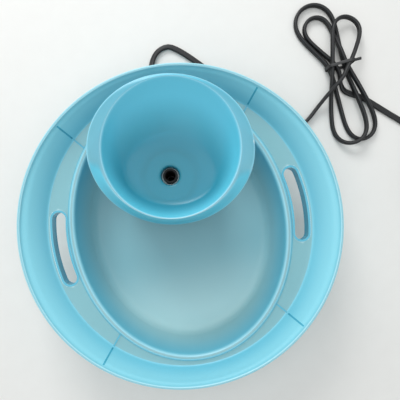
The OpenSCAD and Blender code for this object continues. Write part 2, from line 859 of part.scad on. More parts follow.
// Inside the basin, from the gland to the grommet
inner_y = pump_rear + gland_length;
inner_end = grommet_in - grommet_lip;
inner_route = [
    [0, inner_y, gland_z, 0],
    [0, inner_y + 5, gland_z, 0],
    [0, (inner_y + inner_end) / 2, (gland_z + grommet_z) / 2, 0],
    [0, inner_end - 5, grommet_z, 0],
    [0, inner_end, grommet_z, 0]
];

// Heights of the cord's middle at the waist: on the tie, and one and two strands up
low = 5.2;
mid = 12.3;
high = 20;
// Height of its middle where it lies on the table on its edge
laid = 3.3;
// First two and last two points of the hank
hank_in = [[200.5, 125, high, 90], [205, 131, high, 90]];
hank_out = [[201, 130, 4.6, 90], [201, 123, 3.7, 90]];
hank_in_way = unit(xyz(hank_in[1]) - xyz(hank_in[0]));
hank_out_way = unit(xyz(hank_out[1]) - xyz(hank_out[0]));

function xyz(q) = [q[0], q[1], q[2]];

// From the grommet down to the table, round the back and out to the hank
lead_route = [
    [0, boot_y + boot_length * cos(boot_tilt), grommet_z - boot_length * sin(boot_tilt), 0],
    [0, 156, 15.9, 0],
    [0.3, 162, 11.8, 3],
    [1, 169, 7.6, 12],
    [2.2, 176, 4.9, 25],
    [5.5, 184, 3.3, 38],
    [12.5, 191.3, 2.8, 35],
    [24, 194, 2.4, 20],
    [36, 186.5, 2.2, 5],
    [50, 173, 2.1, 0],
    [66, 155.7, 2.1, 10],
    [82, 138.4, 2.4, 30],
    [97, 122.1, 2.9, 55],
    [112, 105.9, 3.2, 80],
    [126.3, 90.4, 3.3, 90],
    [134.2, 84.5, 3.3, 90],
    [144.3, 82.3, 3.3, 90],
    [153.3, 84, 3.3, 90],
    [160.5, 88.6, 3.5, 90],
    [170, 97.2, 5.6, 90],
    [180, 106.2, 11, 90],
    [189.6, 114.2, 16.8, 90],
    [196.9, 120.2, 19.7, 90],
    hank_in[0]
];

// Hank: each loop is an arc about a centre, with straight runs to the waist
waist = [201, 137];
// Sideways place of each strand at the waist, in the order of winding
strand_x = [9, -9, 6.5, -8.5, 5.5, 0];
// Centre and radius of each loop's arc, measured from the waist
loops = [[14, 36, 15.5], [-1, -69, 18.5], [-16.5, 51, 22], [13, -68, 17], [-15, 44, 15]];
// Height of the cord's middle along each loop, as [share of the loop, height]
lift = [
    [[0, high], [0.1, 18], [0.3, 9], [0.45, 6.5], [0.58, 10.6], [0.75, 12.1], [0.9, 12.8], [1, 12.8]],
    [[0, 12.8], [0.06, 11.7], [0.15, 3.4], [0.4, laid], [0.52, 11.4], [0.66, 10.1], [0.78, 9.8],
     [0.84, 8.8], [0.91, 4], [1, low]],
    [[0, low], [0.12, laid], [0.88, 3.5], [1, low]],
    [[0, low], [0.1, laid], [0.6, laid], [0.74, 9], [0.84, 11.7], [1, mid]],
    [[0, mid], [0.13, 11.5], [0.25, 3.4], [0.88, laid], [1, low]]
];
loop_rings = 24;
fine_steps = 4;          // extra points between the rings, where the gap is measured

function heading(v) = atan2(v[1], v[0]);

// Path of loop i: run to the tangent point, arc to the left, run back to the waist
function loop_path(i, count) =
    let (c = [loops[i][0], loops[i][1]], r = loops[i][2],
         from = [strand_x[i], 0] - c, to = [strand_x[i + 1], 0] - c,
         a0 = heading(from) + acos(r / norm(from)),
         a1 = heading(to) - acos(r / norm(to)),
         sweep = a1 - a0 - 360 * floor((a1 - a0) / 360),
         run0 = sqrt(pow(norm(from), 2) - r * r), run1 = sqrt(pow(norm(to), 2) - r * r),
         arc = r * sweep * PI / 180, total = run0 + arc + run1)
    [for (k = [0:count - 1])
        let (s = total * k / count, a = a0 + (s - run0) / r * 180 / PI,
             p0 = c + r * [cos(a0), sin(a0)], p1 = c + r * [cos(a0 + sweep), sin(a0 + sweep)],
             p = s < run0 ? [strand_x[i], 0] + (p0 - [strand_x[i], 0]) * (s / run0)
                 : s < run0 + arc ? c + r * [cos(a), sin(a)]
                 : p1 + ([strand_x[i + 1], 0] - p1) * ((s - run0 - arc) / run1))
        [waist[0] + p[0], waist[1] + p[1], lookup(k / count, lift[i]), 90]];

// One pass that draws each point towards its neighbours
function eased(p) = [
    for (i = [0:len(p) - 1])
        i < 2 || i > len(p) - 3 ? p[i] : (p[i - 1] + 2 * p[i] + p[i + 1]) / 4
];

function eased_times(p, n) = n == 0 ? p : eased_times(eased(p), n - 1);

function hank_path(rings) =
    let (raw = concat(hank_in, [for (i = [0:len(loops) - 1]) each loop_path(i, rings)],
                      [[waist[0] + strand_x[5], waist[1], low, 90]], hank_out))
    eased_times(raw, 3);

// Least gap of the hank to itself, on points, in a space where its section is round
function least_gap(path, skip) =
    let (k = cord_thick / cord_width,
         q = [for (p = path) [p[0], p[1], p[2] * k]])
    min([for (i = [0:len(q) - 1], j = [i + skip:1:len(q) - 1]) norm(q[i] - q[j])]) - cord_thick;

// From the hank over the table to the plug
tail_route = [
    hank_out[1],
    [201, 117, 3.2, 55],
    [203.5, 110.5, 2.3, 15],
    [210, 105.5, 2.1, 0],
    [221, 99.5, 2.1, 0],
    [234, 88, 2.1, 0],
    [247, 76, 2.1, 0],
    [258, 66, 2.1, 0],
    [266, 55, 2.4, 0],
    [270, 44, 3.8, 0],
    [271, 35, 6, 0],
    [271, 28, 7, 0]
];

back_way = [0, 1, 0];
plug_way = [0, -1, 0];

module cord_inner() {
    color(black_plastic)
        cord_tube(curve(inner_route, 3), section_sides, back_way, back_way);
}

module cord_lead() {
    color(black_plastic)
        cord_tube(curve(lead_route, 2), section_sides, boot_way, hank_in_way);
}

module cord_hank() {
    fine = curve(hank_path(loop_rings), fine_steps);
    echo(least_gap_of_hank_to_itself_mm = least_gap(fine, 8 * fine_steps));
    color(black_plastic)
        cord_tube(hank_path(loop_rings), 6, hank_in_way, hank_out_way);
}

module cord_tail() {
    color(black_plastic)
        cord_tube(curve(tail_route, 2), section_sides, hank_out_way, plug_way);
}

// Where the strands pass the waist
strands = [for (i = [0:len(strand_x) - 1]) hank_path(loop_rings)[len(hank_in) + i * loop_rings]];
tie_width = 3;
tie_thick = 0.8;
tie_slack = cord_width / 2 + 0.5;
tie_twist = 7;          // length of the tie's twisted ends

// Wire tie round the strands at the waist, with its ends twisted together
module twist_tie() {
    color([0.1, 0.1, 0.1])
        union() {
            translate([0, strands[0][1], 0])
                rotate([90, 0, 0])
                    linear_extrude(tie_width, center = true)
                        difference() {
                            tie_outline(tie_slack + tie_thick);
                            tie_outline(tie_slack);
                        }
            translate([strands[0][0] + tie_slack, strands[0][1], strands[0][2]])
                rotate([0, 75, 0])
                    cylinder(h = tie_twist, r = tie_width / 2);
        }
}

module tie_outline(r) {
    hull() {
        for (q = strands)
            translate([q[0], q[2]])
                circle(r = r, $fn = 32);
    }
}

// ---- plug ------------------------------------------------------------------

plug_end = tail_route[len(tail_route) - 1];
plug_width = 24;
plug_thick = 14;
plug_relief_length = 22;
blade_spacing = 12.7;
blade_size = [1.5, 16, 6.3];

module plug_relief() {
    color(black_plastic)
        translate(xyz(plug_end))
            rotate([90, 0, 0])
                cylinder(h = plug_relief_length, r1 = cord_width / 2 + 0.9, r2 = 5.6);
}

// Flat body with rounded edges, lying on the table
module plug_body() {
    soft = 3;
    color(black_plastic)
        translate([plug_end[0], plug_end[1] - plug_relief_length, plug_thick / 2])
            rotate([90, 0, 0])
                hull() {
                    for (x = [-1, 1], z = [-1, 1]) {
                        translate([x * (plug_width / 2 - soft), z * (plug_thick / 2 - soft), 8])
                            cylinder(h = plug_length - 8, r = soft, $fn = 32);
                        translate([x * (plug_width / 2 - soft - 3), z * (plug_thick / 2 - soft - 0.5), 0])
                            cylinder(h = 1, r = soft - 0.5, $fn = 32);
                    }
                }
}

module plug_blades() {
    color(steel)
        for (s = [-1, 1])
            translate([plug_end[0] + s * blade_spacing / 2 - blade_size[0] / 2,
                       plug_end[1] - plug_relief_length - plug_length - blade_size[1],
                       plug_thick / 2 - blade_size[2] / 2])
                cube(blade_size);
}

basin();
rubber_feet();
pump_tower();
upper_bowl();
riser_seal();
filter_frame();
filter_pad();
pump_body();
stator_core();
motor_coil();
potting_cap();
rotor_magnet();
impeller_wheel();
rotor_shaft();
shaft_bushes();
impeller_cover();
foam_prefilter();
intake_cover();
flow_slider();
suction_cups();
riser_tube();
cable_gland();
cord_inner();
cord_grommet();
cord_lead();
cord_hank();
cord_tail();
twist_tie();
plug_relief();
plug_body();
plug_blades();
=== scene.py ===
"""Looks of a pet water fountain: clear aqua splash basin, pump tower, upper bowl and a hanked mains cord.

Sizes are written in millimetres, as in the construction, and become metres when a mesh is made. The frame
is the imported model's: +Z up, +Y to the back of the basin, origin on the table under the basin's middle.
"""

import logging
import math
from dataclasses import dataclass
from enum import Enum
from typing import Callable, Iterable, Sequence

import bmesh
import bpy
from mathutils import Matrix, Vector, noise

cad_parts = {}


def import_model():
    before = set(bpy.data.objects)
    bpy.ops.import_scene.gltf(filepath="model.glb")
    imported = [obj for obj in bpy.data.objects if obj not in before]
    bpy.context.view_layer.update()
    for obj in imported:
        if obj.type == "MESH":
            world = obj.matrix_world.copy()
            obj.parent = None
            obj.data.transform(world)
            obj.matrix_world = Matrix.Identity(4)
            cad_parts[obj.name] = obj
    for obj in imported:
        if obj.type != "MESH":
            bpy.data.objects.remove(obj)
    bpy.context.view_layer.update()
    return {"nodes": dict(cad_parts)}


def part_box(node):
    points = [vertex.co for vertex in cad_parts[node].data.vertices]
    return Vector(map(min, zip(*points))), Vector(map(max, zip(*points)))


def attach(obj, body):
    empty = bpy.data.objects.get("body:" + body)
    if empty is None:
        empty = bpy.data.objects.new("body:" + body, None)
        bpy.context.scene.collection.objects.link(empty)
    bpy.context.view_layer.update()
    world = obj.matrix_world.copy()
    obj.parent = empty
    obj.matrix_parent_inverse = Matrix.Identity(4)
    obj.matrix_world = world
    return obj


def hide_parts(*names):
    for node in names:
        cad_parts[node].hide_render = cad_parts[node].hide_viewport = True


MM = 0.001
LOG = logging.getLogger("fountain")

Tree = bpy.types.NodeTree
Socket = bpy.types.NodeSocket
Piece = bpy.types.Object
Mesh = bmesh.types.BMesh
Vert = bmesh.types.BMVert
Pair = tuple[float, float]
Point = tuple[float, float, float]


# ---- colour and nodes ------------------------------------------------------------------------


def linear(code: str, gain: float = 1.0) -> tuple[float, float, float, float]:
    """Turn an sRGB hex colour into linear RGBA.

    Args:
        code: Six hex digits, such as "5ab8d0".
        gain: Factor on the linear light, for a lighter or darker shade of it.

    Returns:
        Linear red, green, blue and an alpha of 1.
    """

    def channel(share: float) -> float:
        """Turn one sRGB channel into linear light."""
        return share / 12.92 if share <= 0.04045 else ((share + 0.055) / 1.055) ** 2.4

    red, green, blue = (min(1.0, gain * channel(int(code[i : i + 2], 16) / 255)) for i in (0, 2, 4))
    return (red, green, blue, 1.0)


def add(tree: Tree, kind: str, inputs: dict | None = None, **settings: object) -> bpy.types.Node:
    """Add a node with its settings, and fill or link its inputs.

    Args:
        tree: The node tree.
        kind: The node's type.
        inputs: Input name or number to a value, or to the socket that feeds it.
        **settings: Properties of the node.

    Returns:
        The new node.
    """
    node = tree.nodes.new(kind)
    for name, value in settings.items():
        setattr(node, name, value)
    for key, value in (inputs or {}).items():
        if isinstance(value, Socket):
            tree.links.new(value, node.inputs[key])
        else:
            node.inputs[key].default_value = value
    return node


def blank(name: str) -> tuple[bpy.types.Material, Tree]:
    """Make a material with an empty node tree.

    Args:
        name: The material's name.

    Returns:
        The material and its tree.
    """
    material = bpy.data.materials.new(name)
    material.use_nodes = True
    material.node_tree.nodes.clear()
    return material, material.node_tree


def spread(
    tree: Tree, value: Socket, low: float, high: float, ends: Pair = (0.0, 1.0), soft: bool = False
) -> Socket:
    """Map a socket's range between two ends onto the range from low to high.

    Args:
        tree: The node tree.
        value: The socket.
        low: What its lower end becomes.
        high: What its upper end becomes.
        ends: The socket's range.
        soft: True to ease in and out.

    Returns:
        The new socket, held between low and high.
    """
    reach = {"From Min": ends[0], "From Max": ends[1], "To Min": low, "To Max": high}
    kind = "SMOOTHSTEP" if soft else "LINEAR"
    step = add(tree, "ShaderNodeMapRange", {"Value": value, **reach}, interpolation_type=kind)
    return step.outputs["Result"]


def blend(tree: Tree, share: Socket, first: object, second: object) -> Socket:
    """Mix two colours, each a socket or a linear colour."""
    return add(tree, "ShaderNodeMix", {"Factor": share, 6: first, 7: second}, data_type="RGBA").outputs[2]


def pitch(size_mm: float) -> float:
    """Texture scale on Object coordinates whose features are about size_mm across."""
    return 1.0 / (size_mm * MM)


def grain(tree: Tree, place: Socket, size_mm: float, detail: float) -> Socket:
    """Add soft noise whose features are about size_mm across."""
    inputs = {"Vector": place, "Scale": pitch(size_mm), "Detail": detail}
    return add(tree, "ShaderNodeTexNoise", inputs).outputs["Fac"]


# ---- finishes --------------------------------------------------------------------------------


class Pattern(Enum):
    """What breaks up an opaque surface."""

    GRAIN = "grain"
    STRIPES = "stripes"
    CELLS = "cells"


@dataclass(frozen=True)
class Face:
    """How much of its own colour a clear plastic shows.

    Attributes:
        colour: sRGB hex of that colour.
        cover: Share of it; the rest is seen through.
    """

    colour: str
    cover: float


# How level a surface is, as |Normal Z|, where walls end, slopes begin and end, and flats begin
WALLS_END, SLOPES_BEGIN, SLOPES_END, FLATS_BEGIN = 0.3, 0.68, 0.9, 0.985
# Pointiness, 0.5 on a flat face, where the painted highlight of outer edges and the painted shade of inner
# corners begin to show and are full
EDGE_HIGHLIGHT_POINTINESS: Pair = (0.505, 0.55)
CORNER_SHADE_POINTINESS: Pair = (0.485, 0.45)
SAN_IOR = 1.56


@dataclass(frozen=True)
class ClearPlastic:
    """Tinted plastic, injection moulded: polished and clear where it lies flat, satin on its walls.

    Its outer edges carry a painted highlight and the parts towards its rim a painted glow, so both look pale,
    while its inner corners carry painted shade and look darker. Low down it carries painted shade and turns
    grey.

    Attributes:
        name: Material name.
        tint: Colour of what shows through.
        wall: Look of a steep wall.
        slope: Look of a slope, which is satin.
        flat: Look of a flat face.
        low: Look of whatever lies flat and low, with painted shade.
        painted_low_wall: Colour of the walls low down, with painted light and shade.
        shade_mm: Heights between which the low look gives way to the others.
        rim: Painted glow towards the rim.
        rim_glow_mm: Heights between which the painted glow comes in.
        edge: Painted highlight on the outer edges.
        corner_shade: Painted shade in the inner corners.
        roughness: Middle roughness.
        flow_mm: Size of the flow marks.
        flow_depth_mm: Depth of the flow marks.
        front: Painted light low down at the front, standing for light that the wall throws back, or None.
        front_light_mm: Places along Y between which the painted light gives way.
    """

    name: str
    tint: str
    wall: Face
    slope: Face
    flat: Face
    low: Face
    painted_low_wall: str
    shade_mm: Pair
    rim: str
    rim_glow_mm: Pair
    edge: str
    corner_shade: str
    roughness: float = 0.2
    flow_mm: float = 30.0
    flow_depth_mm: float = 0.4
    front: str | None = None
    front_light_mm: Pair = (-115.0, -25.0)

    @staticmethod
    def ease(tree: Tree, along: Socket, span_mm: Pair, top: float) -> Socket:
        """Ease from 1 - top to top between two places along an axis."""
        return spread(tree, along, 1.0 - top, top, (span_mm[0] * MM, span_mm[1] * MM), soft=True)

    def by_slope(self, tree: Tree, level: Socket) -> bpy.types.Node:
        """Add a ramp whose colour and alpha follow how level the surface is.

        Args:
            tree: The material's tree.
            level: 1 on a flat face and 0 on an upright one.

        Returns:
            The ramp.
        """
        ramp = add(tree, "ShaderNodeValToRGB", {"Fac": level})
        stops = ramp.color_ramp.elements
        looks = {0.0: self.wall, WALLS_END: self.wall, SLOPES_BEGIN: self.slope, SLOPES_END: self.slope}
        for at, face in {**looks, FLATS_BEGIN: self.flat, 1.0: self.flat}.items():
            stop = stops[0] if at == 0.0 else stops[-1] if at == 1.0 else stops.new(at)
            stop.color = (*linear(face.colour)[:3], face.cover)
        return ramp

    def material(self) -> bpy.types.Material:
        """Build the material.

        Returns:
            The material, partly seen through.
        """
        material, tree = blank(self.name)
        place = add(tree, "ShaderNodeTexCoord").outputs["Object"]
        marks = grain(tree, place, self.flow_mm, 2.0)
        form = add(tree, "ShaderNodeNewGeometry").outputs
        outer = spread(tree, form["Pointiness"], 0.0, 1.0, EDGE_HIGHLIGHT_POINTINESS)
        inner = spread(tree, form["Pointiness"], 0.0, 1.0, CORNER_SHADE_POINTINESS)
        upright = add(tree, "ShaderNodeSeparateXYZ", {"Vector": form["Normal"]}).outputs["Z"]
        level = add(tree, "ShaderNodeMath", {0: upright}, operation="ABSOLUTE").outputs[0]
        ramp = self.by_slope(tree, level)
        axes = add(tree, "ShaderNodeSeparateXYZ", {"Vector": place}).outputs
        # Painted glow towards the rim, eased in with height
        high = self.ease(tree, axes["Z"], self.rim_glow_mm, 1.0)
        shade = blend(tree, high, ramp.outputs["Color"], linear(self.rim))
        # Painted shade in the inner corners, where Pointiness falls
        shade = blend(tree, inner, shade, linear(self.corner_shade))
        # Painted highlight on the outer edges, where Pointiness rises
        shade = blend(tree, outer, shade, linear(self.edge))
        # Painted shade low down, with a painted colour of its own on the walls there
        low = self.ease(tree, axes["Z"], self.shade_mm, 0.0)
        shaded = blend(tree, level, linear(self.painted_low_wall), linear(self.low.colour))
        # Painted light low down at the front
        if self.front:
            shaded = blend(tree, self.ease(tree, axes["Y"], self.front_light_mm, 0.0), shaded, linear(self.front))
        shade = blend(tree, low, shade, shaded)
        cover = add(tree, "ShaderNodeMix", {"Factor": low, 2: ramp.outputs["Alpha"], 3: self.low.cover})
        relief = {"Height": marks, "Strength": 0.2, "Distance": self.flow_depth_mm * MM}
        finish = {
            "Base Color": shade,
            "Normal": add(tree, "ShaderNodeBump", relief).outputs["Normal"],
            "Roughness": spread(tree, marks, self.roughness * 0.8, self.roughness * 1.25),
            "IOR": SAN_IOR,
        }
        shell = add(tree, "ShaderNodeBsdfPrincipled", finish)
        clear = add(tree, "ShaderNodeBsdfTransparent", {"Color": linear(self.tint)})
        parts = {0: cover.outputs[0], 1: clear.outputs[0], 2: shell.outputs[0]}
        both = add(tree, "ShaderNodeMixShader", parts)
        add(tree, "ShaderNodeOutputMaterial", {"Surface": both.outputs[0]})
        return material


@dataclass(frozen=True)
class Skin:
    """An opaque finish: a colour that varies a little and a fine relief.

    Attributes:
        name: Material name.
        colour: sRGB hex.
        roughness: Middle roughness.
        relief_mm: Size of the relief's features.
        depth_mm: Depth of the relief.
        pattern: Kind of relief.
        metallic: 1 for bare metal.
        variation: Share by which the colour varies.
        ior: Index of refraction.
        sheen: Weight of a soft sheen, for rubber and foam.
        wear_mm: Size of the patches in which the colour and the gloss vary.
    """

    name: str
    colour: str
    roughness: float
    relief_mm: float
    depth_mm: float
    pattern: Pattern = Pattern.GRAIN
    metallic: float = 0.0
    variation: float = 0.15
    ior: float = 1.5
    sheen: float = 0.0
    wear_mm: float = 12.0

    def relief(self, tree: Tree, place: Socket) -> Socket:
        """Add the pattern's texture.

        Args:
            tree: The material's tree.
            place: Texture coordinates.

        Returns:
            The texture's grey output.
        """
        scale = pitch(self.relief_mm)
        if self.pattern is Pattern.STRIPES:
            # at scale 1 a wave's bands are tau / 20 of a unit apart
            bands = {"Vector": place, "Scale": scale / 20 * math.tau, "Distortion": 0.2}
            return add(tree, "ShaderNodeTexWave", bands, bands_direction="Y").outputs["Fac"]
        if self.pattern is Pattern.CELLS:
            return add(tree, "ShaderNodeTexVoronoi", {"Vector": place, "Scale": scale}).outputs["Distance"]
        return grain(tree, place, self.relief_mm, 3.0)

    def material(self) -> bpy.types.Material:
        """Build the material.

        Returns:
            The material.
        """
        material, tree = blank(self.name)
        place = add(tree, "ShaderNodeTexCoord").outputs["Object"]
        relief = {"Height": self.relief(tree, place), "Strength": 0.6, "Distance": self.depth_mm * MM}
        wear = grain(tree, place, self.wear_mm, 4.0)
        darker, lighter = (linear(self.colour, 1 + side * self.variation) for side in (-1, 1))
        finish = {
            "Base Color": blend(tree, wear, darker, lighter),
            "Normal": add(tree, "ShaderNodeBump", relief).outputs["Normal"],
            "Roughness": spread(tree, wear, self.roughness * 0.85, min(1.0, self.roughness * 1.2)),
            "Metallic": self.metallic,
            "IOR": self.ior,
            "Sheen Weight": self.sheen,
        }
        shader = add(tree, "ShaderNodeBsdfPrincipled", finish)
        add(tree, "ShaderNodeOutputMaterial", {"Surface": shader.outputs[0]})
        return material


# Injection moulded, mass coloured styrene acrylonitrile: the basin
BASIN_CLEAR = ClearPlastic(
    "aqua_san_basin",
    "d4eef2",
    wall=Face("74d0e6", 0.84),
    slope=Face("88d6e8", 0.88),
    flat=Face("8cc4cc", 0.62),
    low=Face("86bec8", 0.68),
    painted_low_wall="b4e2ea",
    shade_mm=(4.0, 62.0),
    rim="90dded",
    rim_glow_mm=(63.0, 73.0),
    edge="e0fbff",
    corner_shade="2fa6cd",
    roughness=0.34,
    # Painted light on the reservoir's floor and low walls towards the front
    front="cdf2f4",
)
# The same compound where a rib or a collar stands on edge under the flange
RIB_CLEAR = ClearPlastic(
    "aqua_san_rib",
    "c4e8ee",
    wall=Face("74cade", 0.55),
    slope=Face("50b6d0", 0.8),
    flat=Face("50b6ce", 0.8),
    low=Face("74cade", 0.55),
    painted_low_wall="74cade",
    shade_mm=(4.0, 40.0),
    rim="50b6d0",
    rim_glow_mm=(63.0, 73.0),
    edge="50b6d0",
    corner_shade="50b6d0",
)
# The same compound in the tower
TOWER_CLEAR = ClearPlastic(
    "aqua_san_tower",
    "b4dfe8",
    wall=Face("4fb0ce", 0.62),
    slope=Face("5ab4d0", 0.6),
    flat=Face("6fb4c4", 0.45),
    low=Face("6aa4b2", 0.6),
    painted_low_wall="5aa6bc",
    shade_mm=(6.0, 60.0),
    rim="6cc4da",
    rim_glow_mm=(84.0, 92.0),
    edge="8fd8e6",
    corner_shade="2f9cc4",
    roughness=0.28,
)
# The bowl stands in front of the tower and the pump, and looks the deepest; its floor and low walls carry
# painted shade
BOWL_CLEAR = ClearPlastic(
    "aqua_san_bowl",
    "a8d8e2",
    wall=Face("6cdaf2", 0.86),
    slope=Face("66d0ea", 0.84),
    flat=Face("76c4d6", 0.64),
    low=Face("3aa2b8", 0.52),
    painted_low_wall="48aec8",
    shade_mm=(97.0, 122.0),
    rim="64c6e0",
    rim_glow_mm=(126.0, 132.0),
    edge="d8f6fc",
    corner_shade="2f9cc4",
    roughness=0.3,
)
# Clear thermoplastic rubber of the feet and the riser's seal
CLEAR_RUBBER = Skin("clear_tpe", "d5e6e6", 0.5, 0.5, 0.02)
# White polypropylene frame of the cartridge
WHITE_PLASTIC = Skin("white_polypropylene", "eceded", 0.42, 0.8, 0.02, variation=0.04)
# Non-woven polyester pad with activated carbon
CARBON_PAD = Skin("carbon_fleece", "33363a", 0.95, 0.7, 0.25, Pattern.CELLS, variation=0.35, sheen=0.3)
# Black ABS housing of the pump, spark eroded mould
BLACK_PLASTIC = Skin("black_abs", "101113", 0.5, 0.45, 0.015, variation=0.1)
# The same ABS on the riser, left dull by wear
RISER_BLACK = Skin("black_abs_dull", "08090a", 0.8, 0.45, 0.02, variation=0.1, ior=1.4)
# Varnished electrical steel, stamped and stacked at 0.5 mm
LAMINATED_STEEL = Skin("laminated_steel", "8d9096", 0.4, 0.5, 0.08, Pattern.STRIPES, 1.0)
# Enamelled copper wire of 0.3 mm
COPPER = Skin("enamelled_copper", "b4602e", 0.32, 0.35, 0.1, Pattern.STRIPES, 1.0)
# Cast two-part epoxy
EPOXY = Skin("cast_epoxy", "101112", 0.22, 6.0, 0.08)
# Sintered ferrite magnet, ground round
FERRITE = Skin("sintered_ferrite", "2b2b2e", 0.6, 0.4, 0.02)
# Alumina shaft, ground
CERAMIC = Skin("alumina", "f1ece0", 0.25, 0.3, 0.004, variation=0.03, ior=1.76)
# Nitrile rubber of the cups, bushes and the cord's grommet
DARK_RUBBER = Skin("nitrile_rubber", "1b1b1d", 0.62, 0.6, 0.02, sheen=0.25)
# Open-cell polyurethane foam
FOAM = Skin("open_cell_foam", "232427", 0.95, 0.9, 0.5, Pattern.CELLS, variation=0.4, sheen=0.3)
# Grey acetal slider
GREY_PLASTIC = Skin("grey_acetal", "3c3e42", 0.4, 0.5, 0.01, ior=1.48)
# Extruded flat twin PVC cord
CORD_SKIN = Skin("cord_pvc", "101113", 0.5, 1.2, 0.02, variation=0.2, ior=1.45)
# PVC moulded over the plug, and over the wire of the twist tie
PLUG_BLACK = Skin("moulded_pvc", "101113", 0.5, 0.5, 0.02, variation=0.12, ior=1.53)
# Nickel plated brass of the plug's blades, drawn along their length
PLATED_BRASS = Skin("nickel_plate", "c9c6bd", 0.24, 0.25, 0.004, Pattern.STRIPES, 1.0, 0.06)

MATERIALS: dict[str, bpy.types.Material] = {}


def paint(piece: Piece, finish: ClearPlastic | Skin) -> None:
    """Give a piece its finish as its only material, built once for all pieces that share it.

    Args:
        piece: The piece.
        finish: Its finish.
    """
    if finish.name not in MATERIALS:
        MATERIALS[finish.name] = finish.material()
    piece.data.materials.clear()
    piece.data.materials.append(MATERIALS[finish.name])
    for polygon in piece.data.polygons:
        polygon.material_index = 0


# ---- mesh helpers ----------------------------------------------------------------------------


@dataclass(frozen=True)
class Ring:
    """One ellipse of a lofted wall.

    Attributes:
        a: Half width.
        b: Half depth.
        z: Height.
        y: Place of its centre along Y.
        fall: Share of the pouring lip's fall to the front.
        drop: Share of the apron's drop.
        crisp: Crease of its edge, 0 for soft.
    """

    a: float
    b: float
    z: float
    y: float = 0.0
    fall: float = 0.0
    drop: float = 0.0
    crisp: float = 0.0


# Corners of a large round outline, before it is subdivided
SIDES = 96
Lift = Callable[[Ring, float], float]
Place = Callable[[int, float], Vector]


def oval(size: Pair, more: float, z: float, crisp: float = 0.0) -> Ring:
    """Ring whose half width and depth are those of a size, both larger by more."""
    return Ring(size[0] + more, size[1] + more, z, crisp=crisp)


def no_lift(ring: Ring, angle: float) -> float:
    """Keep a ring level."""
    return 0.0


def sweep(
    bm: Mesh,
    sides: int,
    stations: int,
    place: Place,
    closed: bool = False,
    crisp: Callable[[int], float] = lambda station: 0.0,
) -> None:
    """Extrude a ring of corners through its stations.

    Args:
        bm: The mesh to add to.
        sides: Corners of the ring.
        stations: Number of stations.
        place: Where the corner at an angle lies at a station, in millimetres.
        closed: True if the last station joins the first, False if both ends get a flat cap.
        crisp: Crease of the ring at a station.
    """
    turn = bm.verts.layers.float.get("turn") or bm.verts.layers.float.new("turn")
    crease = bm.edges.layers.float.get("crease_edge") or bm.edges.layers.float.new("crease_edge")
    verts = bmesh.ops.create_circle(bm, segments=sides, radius=1.0)["verts"]
    for vert in verts:
        vert[turn] = math.atan2(vert.co.y, vert.co.x)
    edges = list(dict.fromkeys(edge for vert in verts for edge in vert.link_edges))
    first_verts, first_edges = verts, edges
    for station in range(stations + closed):
        if station:
            grown = bmesh.ops.extrude_edge_only(bm, edges=edges)["geom"]
            verts = [item for item in grown if isinstance(item, Vert)]
            edges = [item for item in grown if isinstance(item, bmesh.types.BMEdge)]
        for vert in verts:
            vert.co = place(station % stations, vert[turn]) * MM
        for edge in edges:
            edge[crease] = crisp(station % stations)
    if closed:
        bmesh.ops.remove_doubles(bm, verts=first_verts + verts, dist=1e-3 * MM)
    else:
        bmesh.ops.edgeloop_fill(bm, edges=first_edges)
        bmesh.ops.edgeloop_fill(bm, edges=edges)


def loft(bm: Mesh, rings: Sequence[Ring], sides: int, closed: bool, lift: Lift = no_lift) -> None:
    """Run a wall through a chain of ellipses.

    Args:
        bm: The mesh to add to.
        rings: The ellipses, in order round the wall's section.
        sides: Corners of each ellipse.
        closed: True if the last ring joins the first, False if both ends get a flat cap.
        lift: Added height of a ring at an angle.
    """

    def place(station: int, angle: float) -> Vector:
        """Point of a ring at an angle.

        Args:
            station: Number of the ring.
            angle: Angle round it, in radians.

        Returns:
            The point, in millimetres.
        """
        ring = rings[station]
        x, y = ring.a * math.cos(angle), ring.y + ring.b * math.sin(angle)
        return Vector((x, y, ring.z + lift(ring, angle)))

    sweep(bm, sides, len(rings), place, closed, lambda station: rings[station].crisp)


def added(bm: Mesh, start: int) -> list[Vert]:
    """Vertices that a mesh got since it had start of them."""
    bm.verts.ensure_lookup_table()
    return bm.verts[start:]


def prism(bm: Mesh, outline: Iterable[Point], along: Vector) -> None:
    """Fill an outline and extrude it, both in millimetres.

    Args:
        bm: The mesh to add to.
        outline: Its corners, in order.
        along: Way and length of the extrusion.
    """
    face = bm.faces.new([bm.verts.new(Vector(corner) * MM) for corner in outline])
    grown = bmesh.ops.extrude_face_region(bm, geom=[face])["geom"]
    tops = [item for item in grown if isinstance(item, Vert)]
    bmesh.ops.translate(bm, vec=along * MM, verts=tops)


def round_bar(bm: Mesh, radius: float, low: float, high: float, to_world: Matrix) -> None:
    """Add a cylinder along Z from low to high, then place it with to_world, whose shift is in metres.

    Args:
        bm: The mesh to add to.
        radius: Its radius, in millimetres.
        low: Lower end, in millimetres.
        high: Upper end, in millimetres.
        to_world: Where it goes.
    """
    middle = Matrix.Translation((0, 0, (low + high) / 2 * MM))
    bmesh.ops.create_cone(
        bm,
        cap_ends=True,
        segments=64,
        radius1=radius * MM,
        radius2=radius * MM,
        depth=(high - low) * MM,
        matrix=to_world @ middle,
    )


def block(bm: Mesh, low: Sequence[float], high: Sequence[float]) -> None:
    """Add a box from corner low to corner high, in millimetres.

    Args:
        bm: The mesh to add to.
        low: Its lowest corner.
        high: Its highest corner.
    """
    centre = Vector([(a + b) / 2 for a, b in zip(low, high)]) * MM
    size = Vector([b - a for a, b in zip(low, high)]) * MM
    bmesh.ops.create_cube(bm, size=1.0, matrix=Matrix.Translation(centre) @ Matrix.Diagonal((*size, 1.0)))


